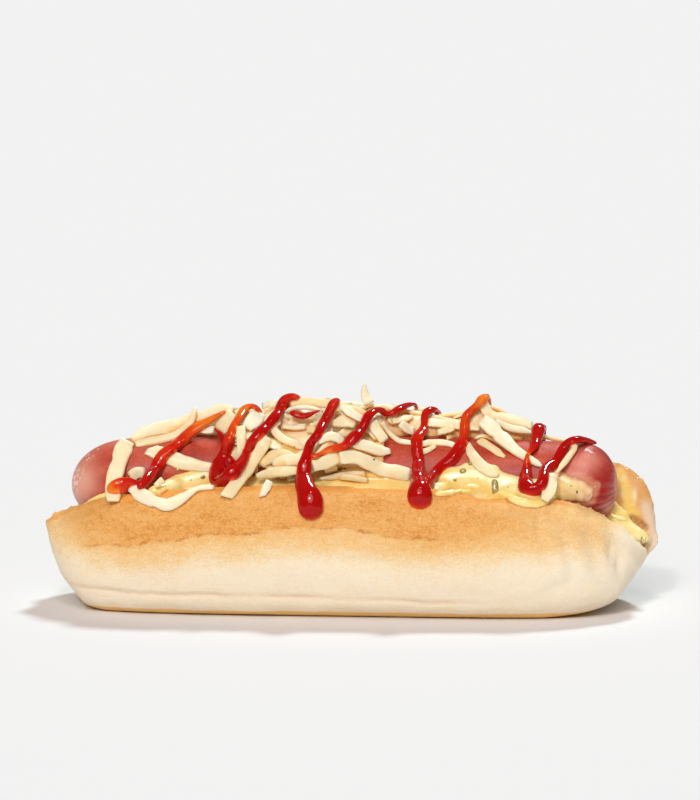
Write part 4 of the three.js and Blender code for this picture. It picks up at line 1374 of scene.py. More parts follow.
KETCHUP = [
    front([(111.5, 489, 4.4), (116, 487.5, 6.8), (121.5, 485.5, 7.0), (127, 483, 4.8), (132.5, 481.5, 3.2), (137.5, 483, 2.2)], thins=[0.75, 0.6, 0.45, 0.35, 0.3, 0.2]),
    None,
    front(c0((616, 708, 17), (632, 694, 24), (670, 650, 28), (705, 605, 32),
             (730, 560, 34), (750, 525, 32), (800, 490, 30), (850, 450, 33), (900, 405, 33), (950, 365, 33), (1000, 340, 28),
             (1050, 310, 19), (1090, 290, 12)), thins=[0.1, 0.05, 0.05, 0.1, 0.45, 0.35, 0.25, 0.45, 0.7, 0.8, 0.8, 0.75]),
    [back(-34.4, 42, 0.8), back(-30, 62, 1.3), back(-25.8, 42, 0.9)],
    front(c1((775, 290, 20), (748, 262, 28), (706, 255, 36), (663, 290, 34), (640, 328, 31), (610, 380, 29), (580, 440, 30), (560, 510, 38), (545, 570, 42),
             (520, 640, 50), (490, 720, 55), (480, 780, 55), (520, 800, 48), (570, 750, 45), (620, 700, 40), (660, 650, 32),
             (690, 590, 30), (700, 550, 30), (740, 500, 40), (790, 440, 42), (850, 380, 42), (900, 320, 40), (940, 260, 38),
             (965, 215, 42), (985, 196, 40), (1015, 186, 36), (1045, 196, 28)), thins=[0.3, 0.6, 0.8, 0.7, 0.6, 0.5, 0.3, 0.1, 0, 0, 0, 0, 0, 0.1, 0.2, 0.15, 0, 0, 0.05, 0.2, 0.3, 0.25, 0.4]),
    [back(-15.6, 42, 1.0), back(-9.5, 62, 1.6), back(-4.0, 42, 1.1)],
    front(c1((1325, 215, 30), (1310, 235, 40), (1290, 275, 35), (1260, 340, 38), (1220, 410, 38), (1190, 470, 35), (1150, 510, 30),
             (1130, 560, 30), (1115, 620, 35), (1100, 690, 45), (1095, 760, 52), (1110, 840, 68), (1140, 920, 84), (1145, 985, 80)),
          thins=[0.35, 0.3, 0.15, 0, 0, 0, 0, 0, 0, 0, 0, 0]),
    None,
    front(c1((1180, 615, 22), (1225, 592, 22), (1285, 565, 30)) + c2((20, 620, 34), (80, 570, 38), (130, 520, 37), (170, 470, 38),
             (190, 410, 36), (230, 370, 32), (280, 350, 32), (310, 370, 28), (330, 392, 26), (380, 375, 28), (430, 345, 32),
             (480, 320, 28), (530, 313, 20)), thins=[0.5, 0.75, 0.5, 0.1, 0, 0, 0.05, 0.15, 0.2, 0.15, 0.1, 0.1, 0.1]),
    [back(19.5, 44, 0.8), back(22.5, 62, 1.5), back(25.5, 44, 1.0)],
    front(c2((668, 352, 30), (640, 355, 38), (600, 400, 28), (605, 450, 28), (590, 500, 32), (550, 550, 40), (545, 590, 36),
             (550, 640, 36), (560, 700, 34), (555, 760, 42), (555, 820, 45), (560, 880, 60), (570, 940, 76), (568, 990, 72)),
          thins=[0.1, 0.1, 0.15, 0.3, 0.25, 0.2, 0.1, 0.1, 0.05, 0, 0, 0]),
    None,
    front(c2((575, 925, 40), (610, 890, 40), (650, 840, 36), (700, 780, 36), (750, 740, 36), (800, 700, 40), (840, 640, 40), (870, 590, 38),
             (885, 540, 32), (890, 480, 30), (890, 430, 28), (910, 390, 36), (950, 350, 34), (990, 315, 32), (1018, 275, 34), (1030, 250, 32), (1045, 246, 22)),
          thins=[0, 0, 0, 0, 0, 0.1, 0.3, 0.45, 0.55, 0.45, 0.6, 0.8, 0.9, 0.95]),
    [back(40.6, 48, 0.9), back(47, 70, 1.5), back(54.5, 46, 1.1)],
    front(c2((1415, 470, 34), (1412, 500, 42), (1400, 560, 38), (1385, 620, 34), (1350, 655, 20), (1330, 690, 20), (1335, 740, 30), (1330, 790, 35),
             (1320, 850, 45), (1330, 910, 50), (1380, 930, 45), (1430, 900, 40), (1450, 840, 36), (1460, 780, 32), (1500, 760, 36),
             (1540, 720, 32), (1568, 670, 30)), thins=[0, 0, 0.05, 0.1, 0.5, 0.6, 0.2, 0, 0, 0, 0, 0, 0, 0, 0, 0])
    + front([(564.5, 446.5, 4.6), (569, 442, 4.8), (576, 439.5, 4.8), (584, 440, 4.6), (590, 442, 4.0), (595, 443, 2.6)]),
    None,
    front([(293, 413, 3.2), (298, 415, 4.4), (304, 416.5, 4.4), (309, 414.5, 3.2), (315, 412, 1.9), (321, 410.5, 1.2)], thin=0.12),
    None,
    front([(214.5, 429, 1.2), (218, 431, 2.0), (221.5, 435.5, 2.6), (224, 441, 2.8), (226, 448, 3.0)], thin=0.0),
    None,
    front([(229, 460, 4.6), (232, 466, 6.4), (229, 474, 6.6)], thin=0.0),
]


def make_ketchup(pile):
    # Strokes are joined into lines: None lifts the nozzle.
    lines, line = [], []
    for part in KETCHUP:
        if part is None:
            lines.append(line)
            line = []
        else:
            line.append(part)
    lines.append(line)
    blobs = Blobs(7)
    marks = []
    for line in lines:
        runs = []
        for part in line:
            if part[0][0] == "f":
                ctrl = np.array([[q[1], q[2], q[3] / SCALE, q[4]] for q in part])
                length = np.sum(np.hypot(*np.diff(ctrl[:, :2], axis=0).T)) / SCALE
                fine = curve_through(ctrl, max(4, int(length / 0.5)))
                r, thin = fine[:, 2], fine[:, 3]
                pos = pile.laid(fine[:, :2], (0.42 - 0.3 * thin) * r, 0.6, slope=1.5, passes=4)
                runs.append(np.column_stack([pos, r, thin]))
            else:
                runs.append(part)
        # The stretches behind the crest join the ends of the strokes in front.
        whole = []
        for i, run in enumerate(runs):
            if isinstance(run, np.ndarray):
                whole.append(run)
                continue
            ends = []
            for q in (runs[i - 1][-1], runs[i + 1][0]):
                ends.append([q[0], math.degrees(math.atan2(q[1], q[2] - HUB)), q[3], q[4], math.hypot(q[1], q[2] - HUB)])
            ctrl = [ends[0][:4]] + [[q[1], q[2], q[3], q[4]] for q in run] + [ends[1][:4]]
            ctrl = np.array([[q[0], math.radians(q[1]) * 20, q[2], q[3], q[1]] for q in ctrl])
            length = np.sum(np.hypot(*np.diff(ctrl[:, :2], axis=0).T))
            fine = curve_through(ctrl, max(6, int(length / 0.5)))
            x, r, thin, t = fine[:, 0], fine[:, 2], fine[:, 3], fine[:, 4]
            b_ = np.max([pile.at(x + dx, t + dt) for dx, dt in ((0, 0), (0.5, 0), (-0.5, 0), (0, 2), (0, -2))], axis=0)
            c = b_.copy()
            for q in range(12):
                c[1:-1] = np.maximum(b_[1:-1] - 0.2, 0.5 * (c[:-2] + c[2:]))
            c = blur1(c, 4) + (0.42 - 0.3 * thin) * r
            s = np.linspace(0, 1, len(c))
            e0, e1 = ends[0][4] - c[0], ends[1][4] - c[-1]
            c = c + e0 * smooth(0.3, 0.0, s) + e1 * smooth(0.7, 1.0, s)
            # It stays behind the crest, seen from the front.
            top = [picture(q[:3])[1] for q in (runs[i - 1][-1], runs[i + 1][0])]
            end_r = np.interp(s, [0, 1], [ends[0][2], ends[1][2]])
            floor_ = np.interp(s, [0, 1], top) + SCALE * 1.3 * np.maximum(0, r - end_r) + 5 * smooth(0, 0.2, s) * smooth(1, 0.8, s)
            over = (floor_ - picture(spot(x, t, c))[:, 1]) / SCALE
            c = c - np.maximum(0, over) / np.maximum(0.5, np.cos(np.radians(t)))
            whole.append(np.column_stack([spot(x, t, c), r, thin])[1:-1])
        whole = np.vstack(whole)
        for q in range(3):  # eases the joins
            whole[1:-1, :3] = 0.25 * whole[:-2, :3] + 0.5 * whole[1:-1, :3] + 0.25 * whole[2:, :3]
        step = np.linalg.norm(np.diff(whole[:, :3], axis=0), axis=1)
        s = np.concatenate([[0], np.cumsum(step)])
        at = np.arange(0, s[-1], 0.45)
        whole = np.column_stack([np.interp(at, s, whole[:, k]) for k in range(5)])
        tang = np.gradient(whole[:, :3], axis=0)
        flow = 1 + 0.1 * wave(at + 40 * len(marks), 4.4, 301) + 0.06 * wave(at, 1.9, 302)
        for k in range(len(whole)):
            p, r, thin = whole[k, :3], 0.95 * whole[k, 3] * flow[k], whole[k, 4]
            across, d, out = frame_at(math.degrees(math.atan2(p[1], p[2] - HUB)), tang[k])
            deep = 0.8 - 0.35 * thin
            blobs.add(p, (across, d, out), (1.24 * r, 1.24 * r, max(0.45, deep * r)))
            marks.append((*p, thin, r))
    o = blobs.mesh("ketchup_look")
    remesh(o, 0.34)
    relax(o, 4, 0.5)
    v = verts_of(o)
    v += normals_of(o) * (0.05 * fbm(v, 3.0, 2, 97))[:, None]
    set_verts(o, v)
    marks = np.array(marks)
    thin, rad = np.empty(len(v)), np.empty(len(v))
    for i in range(0, len(v), 2000):
        d = np.linalg.norm(v[i : i + 2000, None, :] - marks[None, :, :3], axis=2)
        j = np.argmin(d, axis=1)
        thin[i : i + 2000], rad[i : i + 2000] = marks[j, 3], marks[j, 4]
    r = np.hypot(v[:, 1], v[:, 2] - HUB)
    t = np.degrees(np.arctan2(v[:, 1], v[:, 2] - HUB))
    depth = (r - pile.at(v[:, 0], t)) / rad
    attribute(o, "thin", thin)
    attribute(o, "depth", depth)
    shade(o)
    return o


# ------------------------------------------------------------------------------ pickle and specks
# Diced pickle: picture point, half width and half height there in pixels, lean in degrees.
PICKLE = [(495, 487, 3.4, 7.0, 4), (463, 471, 3.4, 2.2, 20), (470.5, 464, 2.4, 1.7, -30), (643, 540, 2.6, 3.2, 0), (178, 469.5, 2.8, 1.5, 10),
          (203, 477, 2.4, 1.6, 30), (559, 436.5, 5.5, 2.4, -5), (455, 480, 1.7, 1.2, 0)]
SPECKS = [(339.5, 470, 1.5, 0.9), (341, 467.5, 0.6, 1.2), (345, 468.8, 0.8, 1.4), (577, 492, 0.8, 1.5), (571, 486, 0.6, 0.6), (343, 464, 0.6, 0.5),
          (374, 459.4, 1.3, 0.6), (294.5, 447, 0.6, 0.6), (508, 487, 0.6, 0.6), (478, 478, 0.7, 0.5), (642, 538, 0.9, 0.9), (191, 480, 0.6, 0.6), (282, 444, 0.7, 0.7)]


def make_bits(name, under, front_spots, behind, thick, rough, seed, count_behind, size_behind):
    """Small chunks half sunk in what they lie on; some more of them along the back."""
    rng = random.Random(seed)
    tree = tree_of(under)
    places = []
    for q in front_spots:
        d = sight(q[0], q[1])
        hit = tree.ray_cast(Vector(EYE), Vector(d), 1400)
        if hit[0] is not None:
            places.append((np.array(hit[0]), np.array(hit[1]), q[2] / SCALE, q[3] / SCALE, math.radians(q[4]) if len(q) > 4 else 0.0))
    back_tree = tree_of(behind)
    for k in range(count_behind):
        x, t = rng.uniform(-62, 66), rng.uniform(58, 76)
        a = math.radians(t)
        out = Vector((0, math.sin(a), math.cos(a)))
        hit = back_tree.ray_cast(Vector((x, 0, HUB)) + 60 * out, -out, 60)
        if hit[0] is not None and hit[1].dot(out) > 0.3:
            places.append((np.array(hit[0]), np.array(hit[1]), rng.uniform(*size_behind), rng.uniform(*size_behind), rng.uniform(0, 3)))
    sphere, faces = ball(9 if rough > 0.1 else 5)
    verts, allf, n, bright = [], [], 0, []
    for p, no, wx, wy, lean in places:
        no = no / np.linalg.norm(no)
        across = np.cross(np.array([0, 0, 1.0]), no)
        if np.linalg.norm(across) < 1e-3:
            across = np.array([1.0, 0, 0])
        across /= np.linalg.norm(across)
        up = np.cross(no, across)
        ca, sa = math.cos(lean), math.sin(lean)
        across, up = across * ca + up * sa, up * ca - across * sa
        h = thick * min(wx, wy)
        b = sphere.copy()
        b = np.sign(b) * np.abs(b) ** 0.72  # boxier than a ball
        b = b * (1 + rough * noise(b * 2.0 + 13 * n, 1.1, seed)[:, None])
        verts.append(p + no * 0.25 * h + b[:, :1] * wx * across + b[:, 1:2] * wy * up + b[:, 2:] * h * no)
        allf += [[n + i for i in f] for f in faces]
        n += len(b)
        bright.append(np.full(len(b), rng.random()))
    o = outward(mesh_object(name, np.vstack(verts), allf))
    attribute(o, "tone", np.concatenate(bright))
    shade(o)
    return o


# ------------------------------------------------------------------------------ materials
def srgb(r, g, b):
    def lin(c):
        c /= 255
        return c / 12.92 if c <= 0.04045 else ((c + 0.055) / 1.055) ** 2.4

    return (lin(r), lin(g), lin(b), 1.0)


class Mat:
    def __init__(self, name):
        self.mat = bpy.data.materials.new(name)
        self.mat.use_nodes = True
        self.nt = self.mat.node_tree
        self.nt.nodes.clear()
        self.out = self.node("ShaderNodeOutputMaterial")
        self.bsdf = self.node("ShaderNodeBsdfPrincipled")
        self.join(self.bsdf.outputs[0], self.out.inputs[0])
        self.coord = self.node("ShaderNodeTexCoord").outputs["Object"]

    def node(self, kind, **props):
        n = self.nt.nodes.new(kind)
        for k, v in props.items():
            setattr(n, k, v)
        return n

    def join(self, a, b):
        self.nt.links.new(a, b)

    def put(self, socket, value):
        if isinstance(value, bpy.types.NodeSocket):
            self.join(value, socket)
        else:
            socket.default_value = value

    def set(self, **values):
        for k, v in values.items():
            self.put(self.bsdf.inputs[k.replace("_", " ")], v)

    def attr(self, name):
        return self.node("ShaderNodeAttribute", attribute_name=name).outputs["Fac"]

    def scaled(self, x, y=None, z=None):
        """Object coordinates stretched per axis (1/mm)."""
        mp = self.node("ShaderNodeMapping")
        self.join(self.coord, mp.inputs["Vector"])
        mp.inputs["Scale"].default_value = (1000 * x, 1000 * (y or x), 1000 * (z or x))
        return mp.outputs[0]

    def noise(self, vector, detail=3.0, rough=0.55, distort=0.0):
        n = self.node("ShaderNodeTexNoise")
        self.join(vector, n.inputs["Vector"])
        n.inputs["Scale"].default_value = 1
        n.inputs["Detail"].default_value = detail
        n.inputs["Roughness"].default_value = rough
        n.inputs["Distortion"].default_value = distort
        return n.outputs["Fac"]

    def cells(self, vector, feature="F1"):
        n = self.node("ShaderNodeTexVoronoi", feature=feature)
        self.join(vector, n.inputs["Vector"])
        n.inputs["Scale"].default_value = 1
        return n.outputs["Distance"]

    def math(self, op, a, b=None, clamp=False):
        n = self.node("ShaderNodeMath", operation=op, use_clamp=clamp)
        self.put(n.inputs[0], a)
        if b is not None:
            self.put(n.inputs[1], b)
        return n.outputs[0]

    def range(self, v, a, b, c=0.0, d=1.0, ease=True):
        n = self.node("ShaderNodeMapRange", interpolation_type="SMOOTHSTEP" if ease else "LINEAR")
        self.put(n.inputs["Value"], v)
        for k, q in zip(("From Min", "From Max", "To Min", "To Max"), (a, b, c, d)):
            n.inputs[k].default_value = q
        return n.outputs[0]

    def mix(self, fac, a, b, kind="MIX"):
        n = self.node("ShaderNodeMix", data_type="RGBA", blend_type=kind)
        self.put(n.inputs["Factor"], fac)
        self.put(n.inputs[6], a)
        self.put(n.inputs[7], b)
        return n.outputs[2]

    def ramp(self, fac, *stops):
        n = self.node("ShaderNodeValToRGB")
        self.put(n.inputs[0], fac)
        e = n.color_ramp.elements
        while len(e) < len(stops):
            e.new(0.5)
        for q, (at, col) in zip(e, stops):
            q.position = at
            q.color = col
        return n.outputs[0]

    def bump(self, height, strength, distance, normal=None):
        n = self.node("ShaderNodeBump")
        self.put(n.inputs["Height"], height)
        n.inputs["Strength"].default_value = strength
        n.inputs["Distance"].default_value = distance * MM
        if normal is not None:
            self.join(normal, n.inputs["Normal"])
        return n.outputs[0]


def bread():
    m = Mat("bread")
    golden, crumb, seam, on = m.attr("golden"), m.attr("crumb"), m.attr("seam"), m.attr("seam_on")
    big = m.noise(m.scaled(0.09, 0.09, 0.2), 3)
    mid = m.noise(m.scaled(0.35, 0.35, 0.7), 4, 0.6)
    fine = m.noise(m.scaled(1.1, 1.1, 1.8), 4, 0.62)
    tiny = m.noise(m.scaled(3.6, 3.6, 5.0), 2, 0.7)
    # How baked the crust is, with ragged and mottled limits.
    g = m.math("MULTIPLY", golden, 0.86)
    g = m.math("ADD", g, m.math("MULTIPLY", m.math("SUBTRACT", big, 0.5), 0.32))
    g = m.math("ADD", g, m.math("MULTIPLY", m.math("SUBTRACT", mid, 0.5), 0.36))
    g = m.math("ADD", g, m.math("MULTIPLY", m.math("SUBTRACT", fine, 0.5), 0.5))
    g = m.math("ADD", g, m.math("MULTIPLY", m.math("SUBTRACT", tiny, 0.5), 0.75), clamp=True)
    crust = m.ramp(
        g,
        (0.0, srgb(251, 240, 216)),
        (0.2, srgb(249, 233, 199)),
        (0.45, srgb(244, 210, 152)),
        (0.7, srgb(238, 188, 116)),
        (0.9, srgb(231, 168, 88)),
        (1.0, srgb(214, 142, 60)),
    )
    speck = m.range(tiny, 0.56, 0.74)
    crust = m.mix(m.math("MULTIPLY", speck, 0.22), crust, srgb(205, 130, 62))
    light = m.range(tiny, 0.42, 0.27)
    crust = m.mix(m.math("MULTIPLY", light, 0.25), crust, srgb(250, 226, 180))
    # The flaky seam: a thin toasted line with a pale lower edge.
    ragged = m.math("ADD", seam, m.math("MULTIPLY", m.math("SUBTRACT", fine, 0.5), 1.6))
    line = m.math("MULTIPLY", m.range(ragged, -0.75, -0.15), m.range(ragged, 0.55, 0.05))
    broken = m.noise(m.scaled(0.22, 0.22, 0.5), 4, 0.65)
    line = m.math("MULTIPLY", line, m.math("MULTIPLY", on, m.range(broken, 0.44, 0.6)), clamp=True)
    crust = m.mix(m.math("MULTIPLY", line, 0.72), crust, srgb(200, 120, 52))
    # Toasted rim where it sat on the tray, and the underside.
    rim = m.math("ADD", m.attr("rim"), m.math("MULTIPLY", m.math("SUBTRACT", mid, 0.5), 0.4), clamp=True)
    crust = m.mix(m.range(rim, 0.25, 0.8), crust, srgb(255, 208, 130))
    crust = m.mix(m.math("MULTIPLY", m.attr("groove"), 0.35), crust, srgb(222, 180, 128))
    crust = m.mix(m.math("MULTIPLY", m.attr("lip"), 0.7), crust, srgb(232, 154, 60))
    # Torn crumb inside the split.
    inside = m.ramp(
        m.noise(m.scaled(0.9), 4, 0.65),
        (0.25, srgb(206, 160, 100)),
        (0.45, srgb(234, 205, 158)),
        (0.7, srgb(248, 232, 202)),
    )
    edge = m.math("ADD", crumb, m.math("MULTIPLY", m.math("SUBTRACT", fine, 0.5), 0.5))
    colour = m.mix(m.range(edge, 0.35, 0.6), crust, inside)
    pores = m.cells(m.scaled(0.75))
    pore = m.math("MULTIPLY", m.range(pores, 0.35, 0.12), m.range(crumb, 0.4, 0.8))
    # Painted shade: the crumb is coloured darker in its pores, as shade in the holes.
    colour = m.mix(m.math("MULTIPLY", pore, 0.45), colour, srgb(196, 146, 88))
    # A glaze of sauce over the rounded crust at the right mouth, with painted shade on the crumb below it and a painted
    # highlight on it.
    glaze = m.attr("glaze")
    colour = m.mix(m.math("MULTIPLY", glaze, 0.8), colour, m.ramp(mid, (0.3, srgb(216, 150, 78)), (0.7, srgb(232, 176, 104))))
    colour = m.mix(m.math("MULTIPLY", m.attr("yolk"), 0.9), colour, m.ramp(mid, (0.3, srgb(242, 200, 88)), (0.7, srgb(252, 224, 136))))
    colour = m.mix(m.math("MULTIPLY", m.attr("milky"), 0.75), colour, srgb(238, 222, 200))
    # Painted shade: dark brown crumb under the sauce lobe, as if in shadow.
    colour = m.mix(m.math("MULTIPLY", m.attr("torn"), 0.85), colour, m.ramp(fine, (0.38, srgb(150, 96, 44)), (0.6, srgb(206, 150, 84))))
    # Painted highlight: pale spots on the sauce glaze.
    colour = m.mix(m.math("MULTIPLY", m.attr("shine"), 0.85), colour, srgb(255, 246, 204))
    m.set(Base_Color=colour)
    dry = m.range(fine, 0.3, 0.7, 0.62, 0.8)
    m.set(Roughness=m.math("SUBTRACT", dry, m.math("MULTIPLY", m.math("MAXIMUM", glaze, m.attr("milky")), 0.52)))
    m.set(Subsurface_Weight=0.12, Subsurface_Radius=(1.0, 0.55, 0.3), Subsurface_Scale=0.0016)
    m.set(Specular_IOR_Level=0.3)
    height = m.math("ADD", m.math("MULTIPLY", fine, 0.6), m.math("MULTIPLY", tiny, 0.7))
    height = m.math("SUBTRACT", height, m.math("MULTIPLY", pore, 1.2))
    height = m.math("ADD", height, m.math("MULTIPLY", mid, 0.7))
    m.set(Normal=m.bump(height, 0.8, 0.24))
    return m.mat


def casing():
    m = Mat("frankfurter")
    end = m.attr("end")
    big = m.noise(m.scaled(0.07, 0.2, 0.2), 3)
    mid = m.noise(m.scaled(0.45), 4, 0.6)
    fine = m.noise(m.scaled(2.4), 3, 0.6)
    colour = m.ramp(
        m.math("ADD", big, m.math("MULTIPLY", m.math("SUBTRACT", mid, 0.5), 0.5)),
        (0.25, srgb(168, 50, 34)),
        (0.5, srgb(188, 68, 44)),
        (0.75, srgb(203, 92, 66)),
    )
    colour = m.mix(m.math("MULTIPLY", m.range(fine, 0.5, 0.72), 0.25), colour, srgb(222, 150, 132))
    colour = m.mix(m.math("MULTIPLY", m.range(fine, 0.42, 0.3), 0.3), colour, srgb(150, 52, 42))
    deep = m.math("MULTIPLY", end, m.range(mid, 0.3, 0.6, 0.55, 1.0))
    colour = m.mix(m.math("MULTIPLY", deep, 0.9), colour, srgb(160, 18, 26))
    colour = m.mix(m.math("MULTIPLY", m.attr("tip"), m.range(fine, 0.3, 0.6, 0.2, 0.7)), colour, srgb(214, 150, 134))
    left = m.attr("left_end")
    colour = m.mix(m.math("MULTIPLY", left, 0.66), colour, srgb(222, 152, 128))
    # Painted sheen: a broad pinkish highlight on the right of the casing, and a paler patch on the left.
    colour = m.mix(m.math("MULTIPLY", m.attr("pale"), 0.65), colour, srgb(238, 164, 144))
    # A film of sauce at the ends, with a painted sheen and a painted translucent rim.
    colour = m.mix(m.math("MULTIPLY", m.attr("veil"), 0.7), colour, srgb(234, 190, 170))
    # Painted glints: small whitish-pink highlights drawn as colour in clusters on the wet left end.
    spark = m.noise(m.scaled(1.1, 0.8, 0.8), 4, 0.7)
    crowd = m.math("ADD", spark, m.math("MULTIPLY", m.attr("wet"), 0.13))
    glint = m.math("MULTIPLY", m.range(m.attr("wet"), 0.05, 0.4), m.range(crowd, 0.58, 0.7))
    colour = m.mix(m.math("MULTIPLY", glint, 0.75), colour, srgb(255, 232, 222))
    ragged = m.math("ADD", m.attr("smear"), m.math("MULTIPLY", m.math("SUBTRACT", mid, 0.5), 0.8))
    colour = m.mix(m.math("MULTIPLY", m.range(ragged, -0.7, 0.3), 0.75), colour, srgb(216, 146, 112))
    wet = m.math("MULTIPLY", m.math("ADD", end, m.attr("wet")), m.range(fine, 0.35, 0.6))
    m.set(Base_Color=colour, Roughness=m.range(wet, 0.0, 0.7, 0.42, 0.18))
    m.set(Subsurface_Weight=0.2, Subsurface_Radius=(1.0, 0.35, 0.2), Subsurface_Scale=0.0015)
    m.set(Specular_IOR_Level=0.27, Coat_Weight=0.05, Coat_Roughness=0.2)
    rough = m.math("ADD", fine, m.math("MULTIPLY", mid, 0.8))
    rough = m.math("ADD", rough, m.math("MULTIPLY", m.math("MULTIPLY", m.attr("wet"), spark), 3.0))
    m.set(Normal=m.bump(rough, 0.45, 0.14))
    return m.mat


def mustard():
    m = Mat("mustard_relish")
    big = m.noise(m.scaled(0.16), 3)
    fine = m.noise(m.scaled(1.2), 3)
    colour = m.ramp(
        big,
        (0.3, srgb(248, 214, 118)),
        (0.5, srgb(253, 232, 156)),
        (0.7, srgb(255, 243, 190)),
    )
    colour = m.mix(m.math("MULTIPLY", m.range(fine, 0.58, 0.74), 0.2), colour, srgb(226, 182, 90))
    # Painted shade: the sauce turns deeper orange where its surroundings hem it in.
    colour = m.mix(m.range(m.attr("nook"), 0.05, 0.7, 0.0, 0.62), colour, srgb(255, 196, 92))
    # Painted contact shade: darker orange-brown where the sauce lies on the bread, with the crust showing through the
    # thin sauce.
    mid = m.noise(m.scaled(0.5), 3)
    patchy = m.math("MULTIPLY", m.attr("rim"), m.range(mid, 0.3, 0.6, 0.45, 0.95))
    colour = m.mix(patchy, colour, srgb(216, 142, 62))
    ragged = m.math("ADD", m.attr("smear"), m.math("MULTIPLY", m.math("SUBTRACT", mid, 0.5), 0.7))
    thin = m.mix(m.range(ragged, 0.3, 1.1), srgb(212, 134, 104), srgb(240, 208, 160))
    colour = m.mix(m.attr("film"), colour, thin)
    m.set(Base_Color=colour, Roughness=m.range(fine, 0.3, 0.7, 0.18, 0.32))
    m.set(Subsurface_Weight=0.35, Subsurface_Radius=(1.0, 0.7, 0.25), Subsurface_Scale=0.0022)
    m.set(Coat_Weight=0.3, Coat_Roughness=0.08)
    m.set(Normal=m.bump(fine, 0.1, 0.15))
    return m.mat


def cheese():
    m = Mat("shredded_cheese")
    tone, grain, along = m.attr("tone"), m.attr("grain"), m.attr("along")
    comb = m.node("ShaderNodeCombineXYZ")
    m.join(m.math("MULTIPLY", grain, 3.4), comb.inputs[0])
    m.join(m.math("MULTIPLY", along, 0.35), comb.inputs[1])
    stria = m.noise(comb.outputs[0], 3, 0.6)
    soft = m.noise(m.scaled(0.3), 3)
    fine = m.noise(m.scaled(1.6), 3)
    shade_ = m.math("ADD", m.math("MULTIPLY", tone, 0.6), m.math("MULTIPLY", soft, 0.4))
    colour = m.ramp(
        shade_,
        (0.12, srgb(255, 247, 226)),
        (0.45, srgb(255, 240, 206)),
        (0.8, srgb(254, 228, 182)),
    )
    # Painted shade: the cheese turns warmer and deeper yellow where other strips hem it in.
    colour = m.mix(m.range(m.attr("nook"), 0.1, 0.75, 0.0, 0.9), colour, srgb(255, 198, 104))
    colour = m.mix(m.math("MULTIPLY", m.range(stria, 0.35, 0.6, 1.0, 0.0), 0.16), colour, srgb(240, 196, 134))
    m.set(Base_Color=colour, Roughness=m.range(fine, 0.3, 0.7, 0.42, 0.58))
    m.set(Subsurface_Weight=0.9, Subsurface_Radius=(1.0, 0.84, 0.6), Subsurface_Scale=0.0012)
    m.set(Specular_IOR_Level=0.4, Coat_Weight=0.16, Coat_Roughness=0.22)
    m.set(Normal=m.bump(m.math("ADD", stria, m.math("MULTIPLY", fine, 0.7)), 0.4, 0.14))
    return m.mat


def tomato():
    m = Mat("ketchup")
    thin, depth = m.attr("thin"), m.attr("depth")
    soft = m.noise(m.scaled(0.5), 3)
    fine = m.noise(m.scaled(2.0), 2)
    t = m.math("ADD", thin, m.math("MULTIPLY", m.math("SUBTRACT", soft, 0.5), 0.35), clamp=True)
    shallow = m.math("MULTIPLY", m.range(depth, 1.0, 0.1), 0.6)
    t = m.math("ADD", t, shallow, clamp=True)
    colour = m.ramp(
        t,
        (0.0, srgb(172, 7, 5)),
        (0.3, srgb(198, 28, 11)),
        (0.6, srgb(222, 76, 18)),
        (0.9, srgb(236, 132, 36)),
    )
    m.set(Base_Color=colour, Roughness=m.range(fine, 0.3, 0.7, 0.06, 0.12))
    m.set(Subsurface_Weight=0.15, Subsurface_Radius=(1.0, 0.16, 0.05), Subsurface_Scale=0.0012)
    m.set(Specular_IOR_Level=0.17, Coat_Weight=0.12, Coat_Roughness=0.03)
    m.set(Normal=m.bump(fine, 0.1, 0.08))
    return m.mat


def gherkin():
    m = Mat("diced_pickle")
    fine = m.noise(m.scaled(1.3), 3, 0.6)
    t = m.math("ADD", m.math("MULTIPLY", m.attr("tone"), 0.4), m.math("MULTIPLY", fine, 0.6))
    colour = m.ramp(t, (0.25, srgb(132, 120, 58)), (0.5, srgb(178, 166, 98)), (0.75, srgb(222, 212, 150)))
    m.set(Base_Color=colour, Roughness=m.range(fine, 0.3, 0.7, 0.16, 0.3))
    m.set(Subsurface_Weight=0.4, Subsurface_Radius=(0.8, 1.0, 0.4), Subsurface_Scale=0.0012)
    m.set(Coat_Weight=0.3, Coat_Roughness=0.06)
    m.set(Normal=m.bump(fine, 0.4, 0.2))
    return m.mat


def flecks():
    m = Mat("dark_flecks")
    fine = m.noise(m.scaled(2.5), 2, 0.6)
    m.set(Base_Color=m.ramp(fine, (0.3, srgb(52, 34, 20)), (0.7, srgb(92, 66, 36))))
    m.set(Roughness=m.range(fine, 0.3, 0.7, 0.4, 0.6))
    return m.mat


def studio_floor():
    m = Mat("pale_floor")
    n = m.noise(m.scaled(0.02), 2)
    m.set(Base_Color=m.ramp(n, (0.0, (0.7855, 0.7815, 0.7915, 1)), (1.0, (0.7895, 0.7855, 0.7955, 1))))
    m.set(Roughness=0.9, Specular_IOR_Level=0.0)
    return m.mat


# ------------------------------------------------------------------------------ build
bun = make_roll()
finish_roll(bun)
sausage = make_sausage()
sauce = make_sauce([bun, sausage])
attribute(sausage, "smear", smeared(verts_of(sausage)))
pile = Pile([bun, sausage, sauce])
core = make_core(pile)
shreds = make_cheese(pile)
surround = tree_of([sausage, sauce, core, shreds])
enclosed(shreds, surround)
enclosed(core, surround)
enclosed(sauce, surround)
rimmed(sauce, tree_of([bun]))
ketchup = make_ketchup(pile)
toppings = [bun, sausage, sauce, core, shreds, ketchup]
pickle = make_bits("pickle_bits", toppings, PICKLE, [bun, sausage, sauce], 0.9, 0.22, 21, 11, (0.5, 1.3))
fleck = make_bits("dark_specks", toppings, SPECKS, [bun, sausage, sauce], 0.7, 0.1, 22, 9, (0.14, 0.3))

